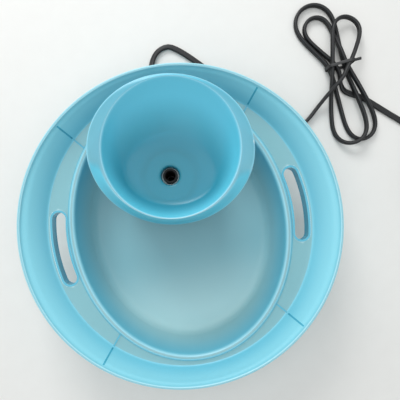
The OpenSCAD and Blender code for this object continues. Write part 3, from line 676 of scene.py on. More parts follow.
def as_object(name: str, bm: Mesh) -> Piece:
    """Close a bmesh into a linked object at the origin, with its normals outward.

    Args:
        name: The object's name.
        bm: The bmesh, which is freed.

    Returns:
        The object.
    """
    bmesh.ops.recalc_face_normals(bm, faces=bm.faces)
    mesh = bpy.data.meshes.new(name)
    bm.to_mesh(mesh)
    bm.free()
    piece = bpy.data.objects.new(name, mesh)
    bpy.context.scene.collection.objects.link(piece)
    return piece


def break_edges(bm: Mesh, edges: Sequence[bmesh.types.BMEdge], width_mm: float, segments: int) -> None:
    """Round edges off, as a mould leaves them.

    Args:
        bm: The mesh.
        edges: Its edges to be rounded.
        width_mm: Width of the rounding.
        segments: Faces across it.
    """
    bmesh.ops.bevel(
        bm,
        geom=edges,
        offset=width_mm * MM,
        offset_type="OFFSET",
        affect="EDGES",
        segments=segments,
        profile=0.5,
        material=-1,
        clamp_overlap=True,
    )


def smooth(piece: Piece, angle: float = 32.0) -> None:
    """Shade smooth, with edges sharper than angle degrees kept."""
    piece.data.polygons.foreach_set("use_smooth", [True] * len(piece.data.polygons))
    piece.data.set_sharp_from_angle(angle=math.radians(angle))


def subdivide(piece: Piece, levels: int) -> None:
    """Add a subdivision surface, the same in the view and the render."""
    modifier = piece.modifiers.new("subdivision", "SUBSURF")
    modifier.levels = modifier.render_levels = levels


class Use(Enum):
    """What a tool does to a piece."""

    JOIN = "UNION"
    CUT = "DIFFERENCE"


def use_tool(piece: Piece, tool: Piece, use: Use) -> None:
    """Add an exact boolean with a tool, which bake() removes.

    Args:
        piece: The piece.
        tool: The closed solid that it is joined with or cut by.
        use: Which of the two.
    """
    modifier = piece.modifiers.new("boolean", "BOOLEAN")
    modifier.operation = use.value
    modifier.object = tool
    modifier.solver = "EXACT"


def bake(piece: Piece) -> None:
    """Apply a piece's modifiers to its mesh and delete the tools that they used.

    Args:
        piece: The piece.
    """
    tools = [m.object for m in piece.modifiers if m.type == "BOOLEAN"]
    bpy.context.view_layer.update()
    shape = piece.evaluated_get(bpy.context.evaluated_depsgraph_get())
    mesh = bpy.data.meshes.new_from_object(shape)
    mesh.name = piece.name
    piece.modifiers.clear()
    piece.data = mesh
    for tool in tools:
        bpy.data.objects.remove(tool)


def settle(
    piece: Piece, finish: ClearPlastic | Skin, body: str, nodes: Sequence[str]
) -> Piece:
    """Paint a finished piece and tie it to the frame.

    Args:
        piece: The piece, with its final mesh.
        finish: Its finish.
        body: The body that it rides on.
        nodes: The construction nodes that it stands for.

    Returns:
        The piece.
    """
    paint(piece, finish)
    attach(piece, body)
    if nodes:
        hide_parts(*nodes)
    LOG.info("%s: %d faces, body %s", piece.name, len(piece.data.polygons), body)
    return piece


# ---- basin -----------------------------------------------------------------------------------


def capsule(bm: Mesh, radius: float, length: float, half: float, levels: Sequence[float]) -> None:
    """Add an upright solid whose plan is a slot bent about the basin's middle.

    Args:
        bm: The mesh to add to.
        radius: Radius of the slot's curve.
        length: Length of the slot between the centres of its round ends.
        half: Half width of the slot.
        levels: Heights from the bottom.
    """
    end = math.pi * half

    def place(station: int, angle: float) -> Vector:
        """Point of a level at a share of the way round the slot.

        Args:
            station: Number of the level.
            angle: Angle round it, in radians.

        Returns:
            The point, in millimetres.
        """
        way = (angle % math.tau) / math.tau * 2 * (length + end)
        far = way >= length + end
        way -= (length + end) * far
        if way < length:
            u, v = way - length / 2, half
        else:
            turn = (way - length) / half
            u, v = length / 2 + half * math.sin(turn), half * math.cos(turn)
        if far:
            u, v = -u, -v
        bend = u / radius
        return Vector(((radius + v) * math.cos(bend), (radius + v) * math.sin(bend), levels[station]))

    sweep(bm, SIDES, len(levels), place)


@dataclass(frozen=True)
class Basin:
    """Round splash basin with a rolled rim, a flat ledge and an oval reservoir.

    Attributes:
        rim_radius: Outer radius of the round rim.
        rim_height: Height of the rim.
        bead: Half thickness of the rolled rim.
        wall: Thickness.
        ledge: Height of the ledge.
        ledge_size: Half width and depth of the ledge's outer edge.
        lip_size: Half width and depth of the bead round the reservoir.
        lip_half: Half width of that bead.
        lip_rise: Height of that bead over the ledge.
        floor_size: Half width and depth of the flat floor.
        fillet: Rounding between floor and wall.
        foot: Height of the floor's underside.
        slot_half: Half width of a hand slot.
        slot_length: Length of a hand slot.
        slot_radius: Radius of its curve.
        slot_offset: Distance of its middle from the basin's middle.
        collar: Depth of the collars below the ledge.
        collar_wall: Their thickness.
        rib_thick: Thickness of the ribs.
        rib_angle: Angle of the ribs from front and back, in degrees.
        rib_mark: How far ribs and collars stand out on the upper side.
        rib_foot: Half width and depth of the reservoir's wall at the ribs' foot.
        rib_low: Height of the ribs' foot.
        exit_height: Height of the cord's exit.
        exit_bore: Radius of the exit.
        boss_radius: Radius of the boss round it.
        boss_ends: Where the boss begins and ends along Y.
    """

    rim_radius: float = 150.0
    rim_height: float = 80.0
    bead: float = 1.8
    wall: float = 2.5
    ledge: float = 58.0
    ledge_size: Pair = (127.5, 135.0)
    lip_size: Pair = (103.5, 127.0)
    lip_half: float = 3.5
    lip_rise: float = 3.5
    floor_size: Pair = (88.0, 111.0)
    fillet: float = 7.0
    foot: float = 3.0
    slot_half: float = 6.5
    slot_length: float = 71.0
    slot_radius: float = 140.0
    slot_offset: float = 116.5
    collar: float = 14.0
    collar_wall: float = 2.0
    rib_thick: float = 1.6
    rib_angle: float = 40.0
    rib_mark: float = 0.3
    rib_foot: Pair = (97.0, 120.0)
    rib_low: float = 30.0
    exit_height: float = 32.0
    exit_bore: float = 5.0
    boss_radius: float = 8.0
    boss_ends: Pair = (118.0, 128.0)

    def underside(self) -> list[Ring]:
        """Rings of the underside, from the floor's middle to the rim.

        Returns:
            The rings, in order.
        """
        floor, ledge, foot, fillet, wall = self.floor_size, self.ledge, self.foot, self.fillet, self.wall
        inner = (self.lip_size[0] - self.lip_half, self.lip_size[1] - self.lip_half)
        middle, rim = self.rim_height - self.bead, (self.rim_radius, self.rim_radius)
        return [
            Ring(floor[0] * 0.3, floor[1] * 0.3, foot),
            Ring(floor[0] * 0.94, floor[1] * 0.94, foot),
            oval(floor, 1, foot + 0.05),
            oval(floor, fillet * 0.6, foot + 1.3),
            oval(floor, fillet + wall * 0.7, foot + fillet * 0.8),
            oval(inner, wall * 0.8, ledge - 12),
            oval(inner, wall, ledge - wall, 0.5),
            Ring(self.ledge_size[0] - 4, self.ledge_size[1] - 1.5, ledge - wall),
            oval(self.ledge_size, wall * 0.5, ledge - wall, 0.3),
            Ring(rim[0] - 9, rim[1] - 5.4, middle - 5 - wall),
            oval(rim, 0.7 - 2 * self.bead, middle - wall),
            oval(rim, -self.bead, middle - self.bead),
            oval(rim, -0.1, middle - 0.6),
        ]

    def upper_side(self) -> list[Ring]:
        """Rings of the upper side, from the rim to the floor's middle.

        Returns:
            The rings, in order.
        """
        size, lip, half, rise, bead = self.floor_size, self.lip_size, self.lip_half, self.lip_rise, self.bead
        middle, rim = self.rim_height - bead, (self.rim_radius, self.rim_radius)
        out, ledge, fillet, floor = self.ledge_size, self.ledge, self.fillet, self.foot + self.wall
        return [
            oval(rim, 0, middle + 0.4),
            oval(rim, -bead * 0.35, middle + bead * 0.8),
            oval(rim, -bead, self.rim_height),
            oval(rim, -bead * 1.65, middle + bead * 0.8),
            oval(rim, -bead * 2, middle - 0.6),
            Ring(rim[0] - 7, rim[1] - 5.6, middle - 2.6),
            Ring(rim[0] - 10, rim[1] - 6.4, middle - 4.6),
            Ring(out[0] + 3, out[1] + 2, ledge + 5),
            oval(out, 0.6, ledge + 0.7),
            Ring(out[0] - 1, out[1] - 0.6, ledge, crisp=0.2),
            Ring(lip[0] + half + 1, lip[1] + half + 0.6, ledge),
            oval(lip, half, ledge + 0.1, 0.4),
            oval(lip, half * 0.6, ledge + rise * 0.8),
            oval(lip, 0, ledge + rise),
            oval(lip, -half * 0.6, ledge + rise * 0.8),
            oval(lip, -half, ledge + 0.2),
            oval(lip, -half - 0.6, ledge - 5),
            oval(size, fillet + 0.6, floor + fillet + 5),
            oval(size, fillet, floor + fillet),
            oval(size, fillet * 0.7, floor + fillet * 0.35),
            oval(size, 0, floor + 0.1),
            Ring(size[0] * 0.94, size[1] * 0.94, floor),
            Ring(size[0] * 0.3, size[1] * 0.3, floor),
        ]

    def slots(self, grown: float, low: float, high: float) -> Piece:
        """Solids in the place of both hand slots.

        Args:
            grown: How much wider than the slot on each side.
            low: Height of their bottom.
            high: Height of their top.

        Returns:
            The pair as one object.
        """
        bm = bmesh.new()
        shift = Matrix.Translation(((self.slot_offset - self.slot_radius) * MM, 0, 0))
        length = self.slot_length - 2 * self.slot_half
        for side in (0.0, math.pi):
            start = len(bm.verts)
            capsule(bm, self.slot_radius, length, self.slot_half + grown, (low, high))
            turned = Matrix.Rotation(side, 4, "Z") @ shift
            bmesh.ops.transform(bm, matrix=turned, verts=added(bm, start))
        return as_object("slots", bm)

    def collars(self) -> Piece:
        """Collars round the slots, whose top edges stand out of the ledge as fine lines.

        Returns:
            Both collars as one object.
        """
        low = self.ledge - self.collar
        piece = self.slots(self.collar_wall, low, self.ledge + self.rib_mark)
        piece.name = piece.data.name = "slot_collars"
        use_tool(piece, self.slots(0, low - 1, self.ledge + 1), Use.CUT)
        bake(piece)
        smooth(piece)
        return piece

    def ribs(self) -> Piece:
        """The four ribs between the wall and the flange, whose tops mark the flange as fine lines.

        Returns:
            The ribs as one object.
        """
        bm = bmesh.new()
        ledge, mark, half = self.ledge, self.rib_mark, self.rib_thick / 2
        under = ledge - self.wall / 2
        edge = self.rim_radius - self.bead * 2
        flange = [ring for ring in self.upper_side() if ledge < ring.z < self.rim_height]
        crown = [ring for ring in flange if self.ledge_size[0] < ring.a <= edge]
        for turn in (middle + side * self.rib_angle for middle in (90, 270) for side in (-1, 1)):
            angle = math.radians(turn)
            foot = self.reach(angle, *self.rib_foot)
            step = self.reach(angle, *self.ledge_size)
            near = self.reach(angle, *self.lip_size) + self.lip_half + 0.5
            profile = [(foot + 1.5, self.rib_low), (step, ledge - 14)]
            profile += [(edge, self.rim_height - self.bead - 4)]
            profile += [(self.reach(angle, ring.a, ring.b), ring.z + mark) for ring in crown]
            profile += [(near, ledge + mark), (near, under), (foot + 6.5, under)]
            start = len(bm.verts)
            prism(bm, [(x, -half, z) for x, z in profile], Vector((0, self.rib_thick, 0)))
            bmesh.ops.rotate(bm, matrix=Matrix.Rotation(angle, 3, "Z"), verts=added(bm, start))
        return as_object("basin_ribs", bm)

    @staticmethod
    def reach(angle: float, a: float, b: float) -> float:
        """Distance to an ellipse along a line at angle from +X."""
        return a * b / math.hypot(b * math.cos(angle), a * math.sin(angle))

    def boss(self, radius: float, margin: float) -> Piece:
        """Bar along Y at the cord's exit, longer than the boss by margin at both ends.

        Args:
            radius: Radius of the bar.
            margin: How much longer it is.

        Returns:
            The bar.
        """
        bm = bmesh.new()
        place = Matrix.Translation((0, 0, self.exit_height * MM)) @ Matrix.Rotation(math.radians(-90), 4, "X")
        round_bar(bm, radius, self.boss_ends[0] - margin, self.boss_ends[1] + margin, place)
        return as_object("boss", bm)

    def build(self) -> Piece:
        """Loft the shell, join its boss, cut the slots and the exit, and add the ribs and collars.

        Returns:
            The shell.
        """
        bm = bmesh.new()
        loft(bm, self.underside() + self.upper_side(), SIDES, closed=False)
        piece = as_object("basin_shell", bm)
        subdivide(piece, 2)
        use_tool(piece, self.boss(self.boss_radius, 0), Use.JOIN)
        holes = self.slots(self.collar_wall - self.rib_mark, self.ledge - self.wall - 2, self.ledge + 6)
        use_tool(piece, holes, Use.CUT)
        use_tool(piece, self.boss(self.exit_bore, 2), Use.CUT)
        bake(piece)
        smooth(piece, 38)
        for mark in (self.ribs(), self.collars()):
            settle(mark, RIB_CLEAR, "base", [])
        return settle(piece, BASIN_CLEAR, "base", ["basin"])


# ---- tower and bowl --------------------------------------------------------------------------


@dataclass(frozen=True)
class Tower:
    """Lift-off housing of the pump, with slots low in its wall and a hole for the bowl's seat.

    Attributes:
        y: Middle along Y.
        half: Half width and depth at the foot.
        draft: How much its wall leans in.
        wall: Thickness.
        low: Height of the foot.
        top: Height of the top.
        corner: Rounding of the top edge.
        hole: Radius of the hole for the bowl's seat.
        hole_y: Middle of that hole along Y.
        slot: Width of a water slot.
        slot_rise: Height of a water slot.
        slot_pitch: Angle from slot to slot, in degrees.
        slot_side: Angle from the back to the first slot of a side, in degrees.
        notch: Width of the cord's notch.
        notch_top: Height of its top.
        guide_x: Inner face of the channels' webs, from the middle.
        guide_y: Front and back of the gap that holds the cartridge.
        guide_top: Height of the channels' top.
    """

    y: float = 48.0
    half: Pair = (50.0, 43.0)
    draft: float = 5.0
    wall: float = 2.5
    low: float = 5.5
    top: float = 91.0
    corner: float = 5.0
    hole: float = 24.3
    hole_y: float = 45.0
    slot: float = 4.0
    slot_rise: float = 26.0
    slot_pitch: float = 11.0
    slot_side: float = 70.0
    notch: float = 13.0
    notch_top: float = 43.5
    guide_x: float = 19.4
    guide_y: Pair = (17.6, 25.4)
    guide_top: float = 39.5

    def ring(self, inset: float, z: float, crisp: float = 0.0) -> Ring:
        """A ring of the wall, in by inset from its base."""
        return Ring(self.half[0] - inset, self.half[1] - inset, z, self.y, crisp=crisp)

    def rings(self) -> list[Ring]:
        """The wall's section, from the inner foot round to the inner top.

        Returns:
            The rings, in order.
        """
        draft, corner, top = self.draft, self.corner, self.top
        under = top - self.wall
        return [
            self.ring(self.wall, self.low, 0.6),
            self.ring(0, self.low, 0.6),
            self.ring(0.4, self.low + 6),
            self.ring(draft - 0.3, top - corner - 2),
            self.ring(draft + 0.3, top - corner * 0.6),
            self.ring(draft + corner * 0.4, top - corner * 0.2),
            self.ring(draft + corner, top),
            Ring(self.hole + 1.5, self.hole + 1.5, top, self.hole_y),
            Ring(self.hole, self.hole, top, self.hole_y, crisp=0.7),
            Ring(self.hole, self.hole, under, self.hole_y, crisp=0.7),
            self.ring(draft + corner, under),
            self.ring(draft + self.wall, top - corner),
            self.ring(self.wall + 0.6, self.low + 6),
        ]

    def gates(self) -> Piece:
        """Cutters of the intake slots and of the notch for the cord.

        Returns:
            All cutters as one object.
        """
        bm = bmesh.new()
        turns = [-90 + self.slot_pitch * k for k in range(-2, 3)]
        turns += [90 + s * (self.slot_side + self.slot_pitch * k) for k in range(5) for s in (-1, 1)]
        half, low, near = self.slot / 2, self.low + 4, self.half[1] * 0.78
        for turn in turns:
            start = len(bm.verts)
            block(bm, (near, -half, low), (near + self.half[0], half, low + self.slot_rise))
            turned = Matrix.Translation((0, self.y * MM, 0)) @ Matrix.Rotation(math.radians(turn), 4, "Z")
            bmesh.ops.transform(bm, matrix=turned, verts=added(bm, start))
        back = self.y + self.half[1]
        block(bm, (-self.notch / 2, back - 12, self.low - 1), (self.notch / 2, back + 2, self.notch_top))
        return as_object("gates", bm)

    def guides(self) -> Piece:
        """Channels that hold the cartridge at its two edges.

        Returns:
            Both channels as one object.
        """
        bm = bmesh.new()
        near, front, back, top = self.guide_x, *self.guide_y, self.guide_top
        spans = (
            (near - 2.5, near + 22, back, back + 2),
            (near - 2.5, near + 15.5, front - 2, front),
            (near, near + 2, front - 0.5, back + 0.5),
        )
        for side in (-1, 1):
            for x0, x1, y0, y1 in spans:
                ends = sorted((side * x0, side * x1))
                block(bm, (ends[0], y0, self.low + 0.1), (ends[1], y1, top))
        return as_object("guides", bm)

    def build(self) -> Piece:
        """Loft the housing and cut it.

        Returns:
            The housing.
        """
        bm = bmesh.new()
        loft(bm, self.rings(), 72, closed=True)
        piece = as_object("tower_shell", bm)
        subdivide(piece, 2)
        use_tool(piece, self.guides(), Use.JOIN)
        use_tool(piece, self.gates(), Use.CUT)
        bake(piece)
        smooth(piece, 36)
        return settle(piece, TOWER_CLEAR, "tower", ["pump_tower"])


@dataclass(frozen=True)
class Bowl:
    """Upper bowl that pours back over its front edge, turned a little on the riser as photographed.

    Attributes:
        turn: Angle about the riser, in degrees.
        y: Place of the riser along Y.
        crest: Radius of the crest.
        back: Distance of the crest's middle behind the riser.
        lip_back: Height of the lip at the back.
        lip_front: Height of the lip at the front.
        apron: Depth of the apron in front.
        reach: How far the apron reaches in front of the crest.
        half: Half width and depth of the lip's outer edge.
        floor_half: Half width and depth of the floor.
        floor: Height of the floor.
        wall: Thickness.
        bore: Radius of the hole for the riser.
        seat: Outer radius of the ring that stands in the tower's hole.
        tower_top: Height of the tower's top.
        kink: Angle from the sides at which the apron begins, in degrees.
        kink_step: Share of the apron's drop at its corners.
    """

    turn: float = -14.0
    y: float = 45.0
    crest: float = 56.0
    back: float = 19.5
    lip_back: float = 130.0
    lip_front: float = 124.0
    apron: float = 14.0
    reach: float = 6.3
    half: Pair = (68.5, 61.0)
    floor_half: Pair = (39.0, 26.5)
    floor: float = 98.0
    wall: float = 2.5
    bore: float = 7.75
    seat: float = 24.0
    tower_top: float = 91.0
    kink: float = 12.0
    kink_step: float = 0.2

    def lift(self, ring: Ring, angle: float) -> float:
        """Fall of the lip to the front and drop of the apron, at an angle round the bowl.

        Args:
            ring: The ring.
            angle: Angle round it, in radians.

        Returns:
            Height to be added, in millimetres.
        """
        front = math.degrees(math.asin(max(-1.0, min(1.0, -math.sin(angle)))))
        s = min(1.0, max(0.0, (front - self.kink) / (90 - self.kink)))
        share = self.kink_step * min(1.0, s * 9) + (1 - self.kink_step) * s * s * (3 - 2 * s)
        fall = ring.fall * (self.lip_front - self.lip_back) * (1 - math.sin(angle)) / 2
        return fall - ring.drop * self.apron * share

    def wall_ring(self, s: float, z: float, grown: float, fall: float, drop: float) -> Ring:
        """Ring at share s of the wall's height, grown outwards.

        Args:
            s: Share of the wall's height, 0 at the floor and 1 at the crest.
            z: Height.
            grown: How much larger than the inner wall.
            fall: Share of the pouring lip's fall.
            drop: Share of the apron's drop.

        Returns:
            The ring.
        """
        return Ring(
            self.floor_half[0] + s * (self.crest - self.floor_half[0]) + grown,
            self.floor_half[1] + s * (self.crest - self.floor_half[1]) + grown,
            z,
            1 + s * (self.back - 1),
            fall,
            drop,
        )

    def lip_ring(self, inset: float, down: float) -> Ring:
        """Ring of the lip and apron, in from the outer edge and down from the crest."""
        middle = self.half[1] - self.crest + self.back - self.reach
        return Ring(self.half[0] - inset, self.half[1] - inset, self.lip_back - down, middle, 1, 1)

    def rings(self) -> list[Ring]:
        """The bowl's section: bore, seat rings, outside, lip, inside.

        Returns:
            The rings, in order.
        """
        bore, seat, under, floor = self.bore, self.seat, self.floor - self.wall, self.floor
        crest = self.crest
        return [
            Ring(bore, bore, floor - 1),
            Ring(bore, bore, self.tower_top - 7, crisp=0.8),
            Ring(bore + 2.5, bore + 2.5, self.tower_top - 7, crisp=0.8),
            Ring(bore + 2.5, bore + 2.5, under, crisp=0.5),
            Ring(seat - 2.5, seat - 2.5, under, crisp=0.5),
            Ring(seat - 2.5, seat - 2.5, self.tower_top - 5, crisp=0.8),
            Ring(seat, seat, self.tower_top - 5, crisp=0.8),
            Ring(seat, seat, self.tower_top, crisp=0.8),
            Ring(seat + 2.6, seat + 2.6, self.tower_top, crisp=0.8),
            Ring(seat + 2.6, seat + 2.6, under, crisp=0.5),
            self.wall_ring(0, under + 0.3, 0.2, 0, 0),
            self.wall_ring(0.16, floor + 1.8, self.wall * 0.8, 0.1, 0),
            self.wall_ring(0.5, floor + 9.8, self.wall * 0.9, 0.4, 0.1),
            self.wall_ring(0.93, self.lip_back - 4.6, self.wall * 0.7, 1, 0.3),
            self.lip_ring(1.9, 3.4),
            self.lip_ring(0.7, 3.2),
            self.lip_ring(0, 2.0),
            self.lip_ring(0.5, 0.9),
            self.lip_ring(2.2, 0.4),
            Ring(crest + 3.5, crest + 1.6, self.lip_back - 0.05, self.back, 1, 0),
            Ring(crest + 1.5, crest + 1.2, self.lip_back, self.back, 1, 0),
            Ring(crest, crest, self.lip_back - 0.5, self.back, 1, 0),
            self.wall_ring(0.78, floor + 22.5, 0.2, 0.7, 0),
            self.wall_ring(0.5, floor + 13, 0, 0.4, 0),
            self.wall_ring(0.16, floor + 5.3, 0, 0.1, 0),
            self.wall_ring(0, floor + 2.7, 0, 0, 0),
            Ring(self.floor_half[0] * 0.76, self.floor_half[1] * 0.8, floor + 1.1, 0.8),
            Ring(17, 14.5, floor + 0.4, 0.5),
            Ring(bore + 1.4, bore + 1.4, floor + 0.1),
        ]

    def build(self) -> Piece:
        """Loft the bowl and turn it on the riser.

        Returns:
            The bowl.
        """
        bm = bmesh.new()
        loft(bm, self.rings(), SIDES, closed=True, lift=self.lift)
        turned = Matrix.Translation((0, self.y * MM, 0)) @ Matrix.Rotation(math.radians(self.turn), 4, "Z")
        bmesh.ops.transform(bm, matrix=turned, verts=bm.verts)
        piece = as_object("bowl_shell", bm)
        subdivide(piece, 2)
        bake(piece)
        smooth(piece, 40)
        return settle(piece, BOWL_CLEAR, "bowl", ["upper_bowl"])


# ---- small moulded pieces --------------------------------------------------------------------

# Distance at which a construction mesh's corners are welded
WELD_MM = 0.004
# Angles, in degrees, below which faces lie in one plane and above which an edge is broken
SAME_PLANE, HARD_EDGE = 0.8, 35.0
# How often a porous block's long edges are halved at most
MOST_CUTS = 6


@dataclass(frozen=True)
class Dressed:
    """A hard piece made from its construction node: welded, its edges broken, shaded and painted.

    Attributes:
        node: The construction node.
        finish: Its finish.
        body: The body that carries it.
        slot: Name of a material slot; not used.
        edge_mm: Width of the broken edges.
    """

    node: str
    finish: Skin
    body: str
    slot: str
    edge_mm: float = 0.35

    def build(self, nodes: dict[str, Piece]) -> Piece:
        """Weld a copy of the node's mesh and break its edges.

        Args:
            nodes: The construction nodes by name.

        Returns:
            The piece.
        """
        bm = bmesh.new()
        bm.from_mesh(nodes[self.node].data)
        bmesh.ops.remove_doubles(bm, verts=bm.verts, dist=WELD_MM * MM)
        bmesh.ops.dissolve_limit(bm, angle_limit=math.radians(SAME_PLANE), verts=bm.verts, edges=bm.edges)
        limit = math.radians(HARD_EDGE)
        hard = [edge for edge in bm.edges if len(edge.link_faces) == 2 and edge.calc_face_angle() > limit]
        break_edges(bm, hard, self.edge_mm, 2)
        piece = as_object(self.node + "_piece", bm)
        smooth(piece, 34)
        return settle(piece, self.finish, self.body, [self.node])


@dataclass(frozen=True)
class Porous:
    """A foam or fleece block, cut from its node's box with a rough open surface.

    Attributes:
        node: The construction node.
        finish: Its finish.
        body: The body that carries it.
        slot: Name of a material slot; not used.
        rough_mm: Depth of its roughness.
        round_mm: Rounding of its edges.
        mesh_mm: Longest edge of its mesh.
        pore_mm: Size of its pores.
    """

    node: str
    finish: Skin
    body: str
    slot: str
    rough_mm: float
    round_mm: float = 0.8
    mesh_mm: float = 1.6
    pore_mm: float = 1.7

    def build(self) -> Piece:
        """Round a box's edges, subdivide it and sink its surface at random.

        Returns:
            The piece.
        """
        low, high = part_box(self.node)
        bm = bmesh.new()
        block(bm, [c / MM for c in low], [c / MM for c in high])
        break_edges(bm, bm.edges[:], self.round_mm, 3)
        for _ in range(MOST_CUTS):
            long_edges = [edge for edge in bm.edges if edge.calc_length() > self.mesh_mm * MM]
            if not long_edges:
                break
            bmesh.ops.subdivide_edges(bm, edges=long_edges, cuts=1, use_grid_fill=True)
        bm.normal_update()
        for vert in bm.verts:
            depth = 0.5 + 0.5 * noise.noise(vert.co / (self.pore_mm * MM))
            vert.co -= vert.normal * self.rough_mm * MM * depth
        piece = as_object(self.node + "_piece", bm)
        smooth(piece, 60)
        settle(piece, self.finish, self.body, [self.node])
        return piece


# ---- cord ------------------------------------------------------------------------------------

Stop = tuple[float, float, float, float]


def through(u: float, p: float, q: float, r: float, s: float) -> float:
    """Value at share u of the way from q to r on a smooth curve through p, q, r and s.

    Args:
        u: The share.
        p: Value before q.
        q: Value at the start.
        r: Value at the end.
        s: Value after r.

    Returns:
        The value.
    """
    return 0.5 * (
        2 * q + (r - p) * u + (2 * p - 5 * q + 4 * r - s) * u * u + (3 * q - p - 3 * r + s) * u**3
    )


def smooth_curve(stops: Sequence[Stop], steps: int) -> list[Stop]:
    """Pass a smooth curve through all stops.

    Args:
        stops: Points with a roll, in millimetres and degrees.
        steps: Pieces between two stops.

    Returns:
        The finer list, with the same first and last stop.
    """
    fine = []
    for i in range(len(stops) - 1):
        around = (stops[max(i - 1, 0)], stops[i], stops[i + 1], stops[min(i + 2, len(stops) - 1)])
        for k in range(steps):
            fine.append(tuple(through(k / steps, *values) for values in zip(*around)))
    return fine + [stops[-1]]


@dataclass(frozen=True)
class Cord:
    """Flat twin mains cord: from the grommet round the back, through a tied hank, to its plug.

    Attributes:
        width: Width over both cores.
        thick: Thickness.
        sides: Corners of its section.
        table_gap: Least height of its skin.
        exit: Where it leaves the grommet.
        inner: Run from the pump's gland to the grommet.
        lead: Run from the grommet to the hank.
        into_hank: First stops of the hank.
        out_of_hank: Last stops of the hank.
        waist: Middle of the tie.
        strands: Places across the waist of the strands, in the order of the winding.
        loops: Centre and radius of each loop's round end, from the waist.
        lift: Share of each loop and height there.
        loop_stops: Stops of each loop.
        tail: Run from the hank to the plug.
    """

    width: float = 6.2
    thick: float = 3.8
    sides: int = 20
    table_gap: float = 0.05
    exit: Point = (0.0, 151.08, 19.38)
    inner: tuple[Stop, ...] = (
        (0, 95, 33, 0), (0, 100, 33, 0), (0, 105.75, 32.5, 0), (0, 111.5, 32, 0), (0, 116.5, 32, 0)
    )
    lead: tuple[Stop, ...] = (
        (0, 156, 15.9, 0), (0.3, 162, 11.8, 3), (1, 169, 7.6, 12), (2.2, 176, 4.9, 25),
        (5.5, 184, 3.3, 38), (12.5, 191.3, 2.8, 35), (24, 194, 2.4, 20), (36, 186.5, 2.2, 5),
        (50, 173, 2.1, 0), (66, 155.7, 2.1, 10), (82, 138.4, 2.4, 30), (97, 122.1, 2.9, 55),
        (112, 105.9, 3.2, 80), (126.3, 90.4, 3.3, 90), (134.2, 84.5, 3.3, 90), (144.3, 82.3, 3.3, 90),
        (153.3, 84, 3.3, 90), (160.5, 88.6, 3.5, 90), (170, 97.2, 5.6, 90), (180, 106.2, 11, 90),
        (189.6, 114.2, 16.8, 90), (196.9, 120.2, 19.7, 90), (200.5, 125, 20, 90),
    )
    into_hank: tuple[Stop, ...] = ((200.5, 125, 20, 90), (205, 131, 20, 90))
    out_of_hank: tuple[Stop, ...] = ((201, 130, 4.6, 90), (201, 123, 3.7, 90))
    waist: Pair = (201.0, 137.0)
    strands: tuple[float, ...] = (9, -9, 6.5, -8.5, 5.5, 0)
    loops: tuple[Point, ...] = (
        (14, 36, 15.5), (-1, -69, 18.5), (-16.5, 51, 22), (13, -68, 17), (-15, 44, 15)
    )
    lift: tuple[tuple[Pair, ...], ...] = (
        ((0, 20), (0.1, 18), (0.3, 9), (0.45, 6.5), (0.58, 10.6), (0.75, 12.1), (0.9, 12.8), (1, 12.8)),
        (
            (0, 12.8), (0.06, 11.7), (0.15, 3.4), (0.4, 3.3), (0.52, 11.4),
            (0.66, 10.1), (0.78, 9.8), (0.84, 8.8), (0.91, 4), (1, 5.2),
        ),
        ((0, 5.2), (0.12, 3.3), (0.88, 3.5), (1, 5.2)),
        ((0, 5.2), (0.1, 3.3), (0.6, 3.3), (0.74, 9), (0.84, 11.7), (1, 12.3)),
        ((0, 12.3), (0.13, 11.5), (0.25, 3.4), (0.88, 3.3), (1, 5.2)),
    )
    loop_stops: int = 24
    tail: tuple[Stop, ...] = (
        (201, 123, 3.7, 90), (201, 117, 3.2, 55), (203.5, 110.5, 2.3, 15), (210, 105.5, 2.1, 0),
        (221, 99.5, 2.1, 0), (234, 88, 2.1, 0), (247, 76, 2.1, 0), (258, 66, 2.1, 0),
        (266, 55, 2.4, 0), (270, 44, 3.8, 0), (271, 35, 6, 0), (271, 28, 7, 0),
    )

    def height(self, loop: int, share: float) -> float:
        """Height of the cord's middle at a share of a loop.

        Args:
            loop: Number of the loop.
            share: Share of its length.

        Returns:
            Height, in millimetres.
        """
        table = self.lift[loop]
        for (s0, z0), (s1, z1) in zip(table, table[1:]):
            if share <= s1:
                return z0 + (z1 - z0) * (share - s0) / (s1 - s0)
        return table[-1][1]

    def loop(self, number: int) -> list[Stop]:
        """Stops of one loop: out to the tangent point, round to the left and back to the waist.

        Args:
            number: The loop's place in the winding.

        Returns:
            The stops, without the last one at the waist.
        """
        cx, cy, radius = self.loops[number]
        centre = Vector((cx, cy))
        start, end = Vector((self.strands[number], 0)), Vector((self.strands[number + 1], 0))
        first, last = start - centre, end - centre
        touch = math.atan2(first.y, first.x) + math.acos(radius / first.length)
        leave = math.atan2(last.y, last.x) - math.acos(radius / last.length)
        turn = (leave - touch) % math.tau
        out, back = (math.sqrt(way.length_squared - radius**2) for way in (first, last))
        total = out + radius * turn + back

        def on_arc(angle: float) -> Vector:
            """Point of the round end."""
            return centre + radius * Vector((math.cos(angle), math.sin(angle)))

        stops = []
        for k in range(self.loop_stops):
            share = k / self.loop_stops
            way = total * share
            if way < out:
                at = start.lerp(on_arc(touch), way / out)
            elif way < total - back:
                at = on_arc(touch + (way - out) / radius)
            else:
                at = on_arc(touch + turn).lerp(end, (way - total + back) / back)
            stops.append((self.waist[0] + at.x, self.waist[1] + at.y, self.height(number, share), 90.0))
        return stops

    def hank(self) -> list[Stop]:
        """Stops of the whole hank, eased three times.

        Returns:
            The stops, in order.
        """
        stops = list(self.into_hank)
        for number in range(len(self.loops)):
            stops += self.loop(number)
        stops.append((self.waist[0] + self.strands[-1], self.waist[1], self.lift[-1][-1][1], 90.0))
        stops += self.out_of_hank
        for _ in range(3):
            inner = [
                tuple((p + 2 * q + r) / 4 for p, q, r in zip(a, b, c))
                for a, b, c in zip(stops[1:], stops[2:-2], stops[3:])
            ]
            stops = stops[:2] + inner + stops[-2:]
        return stops

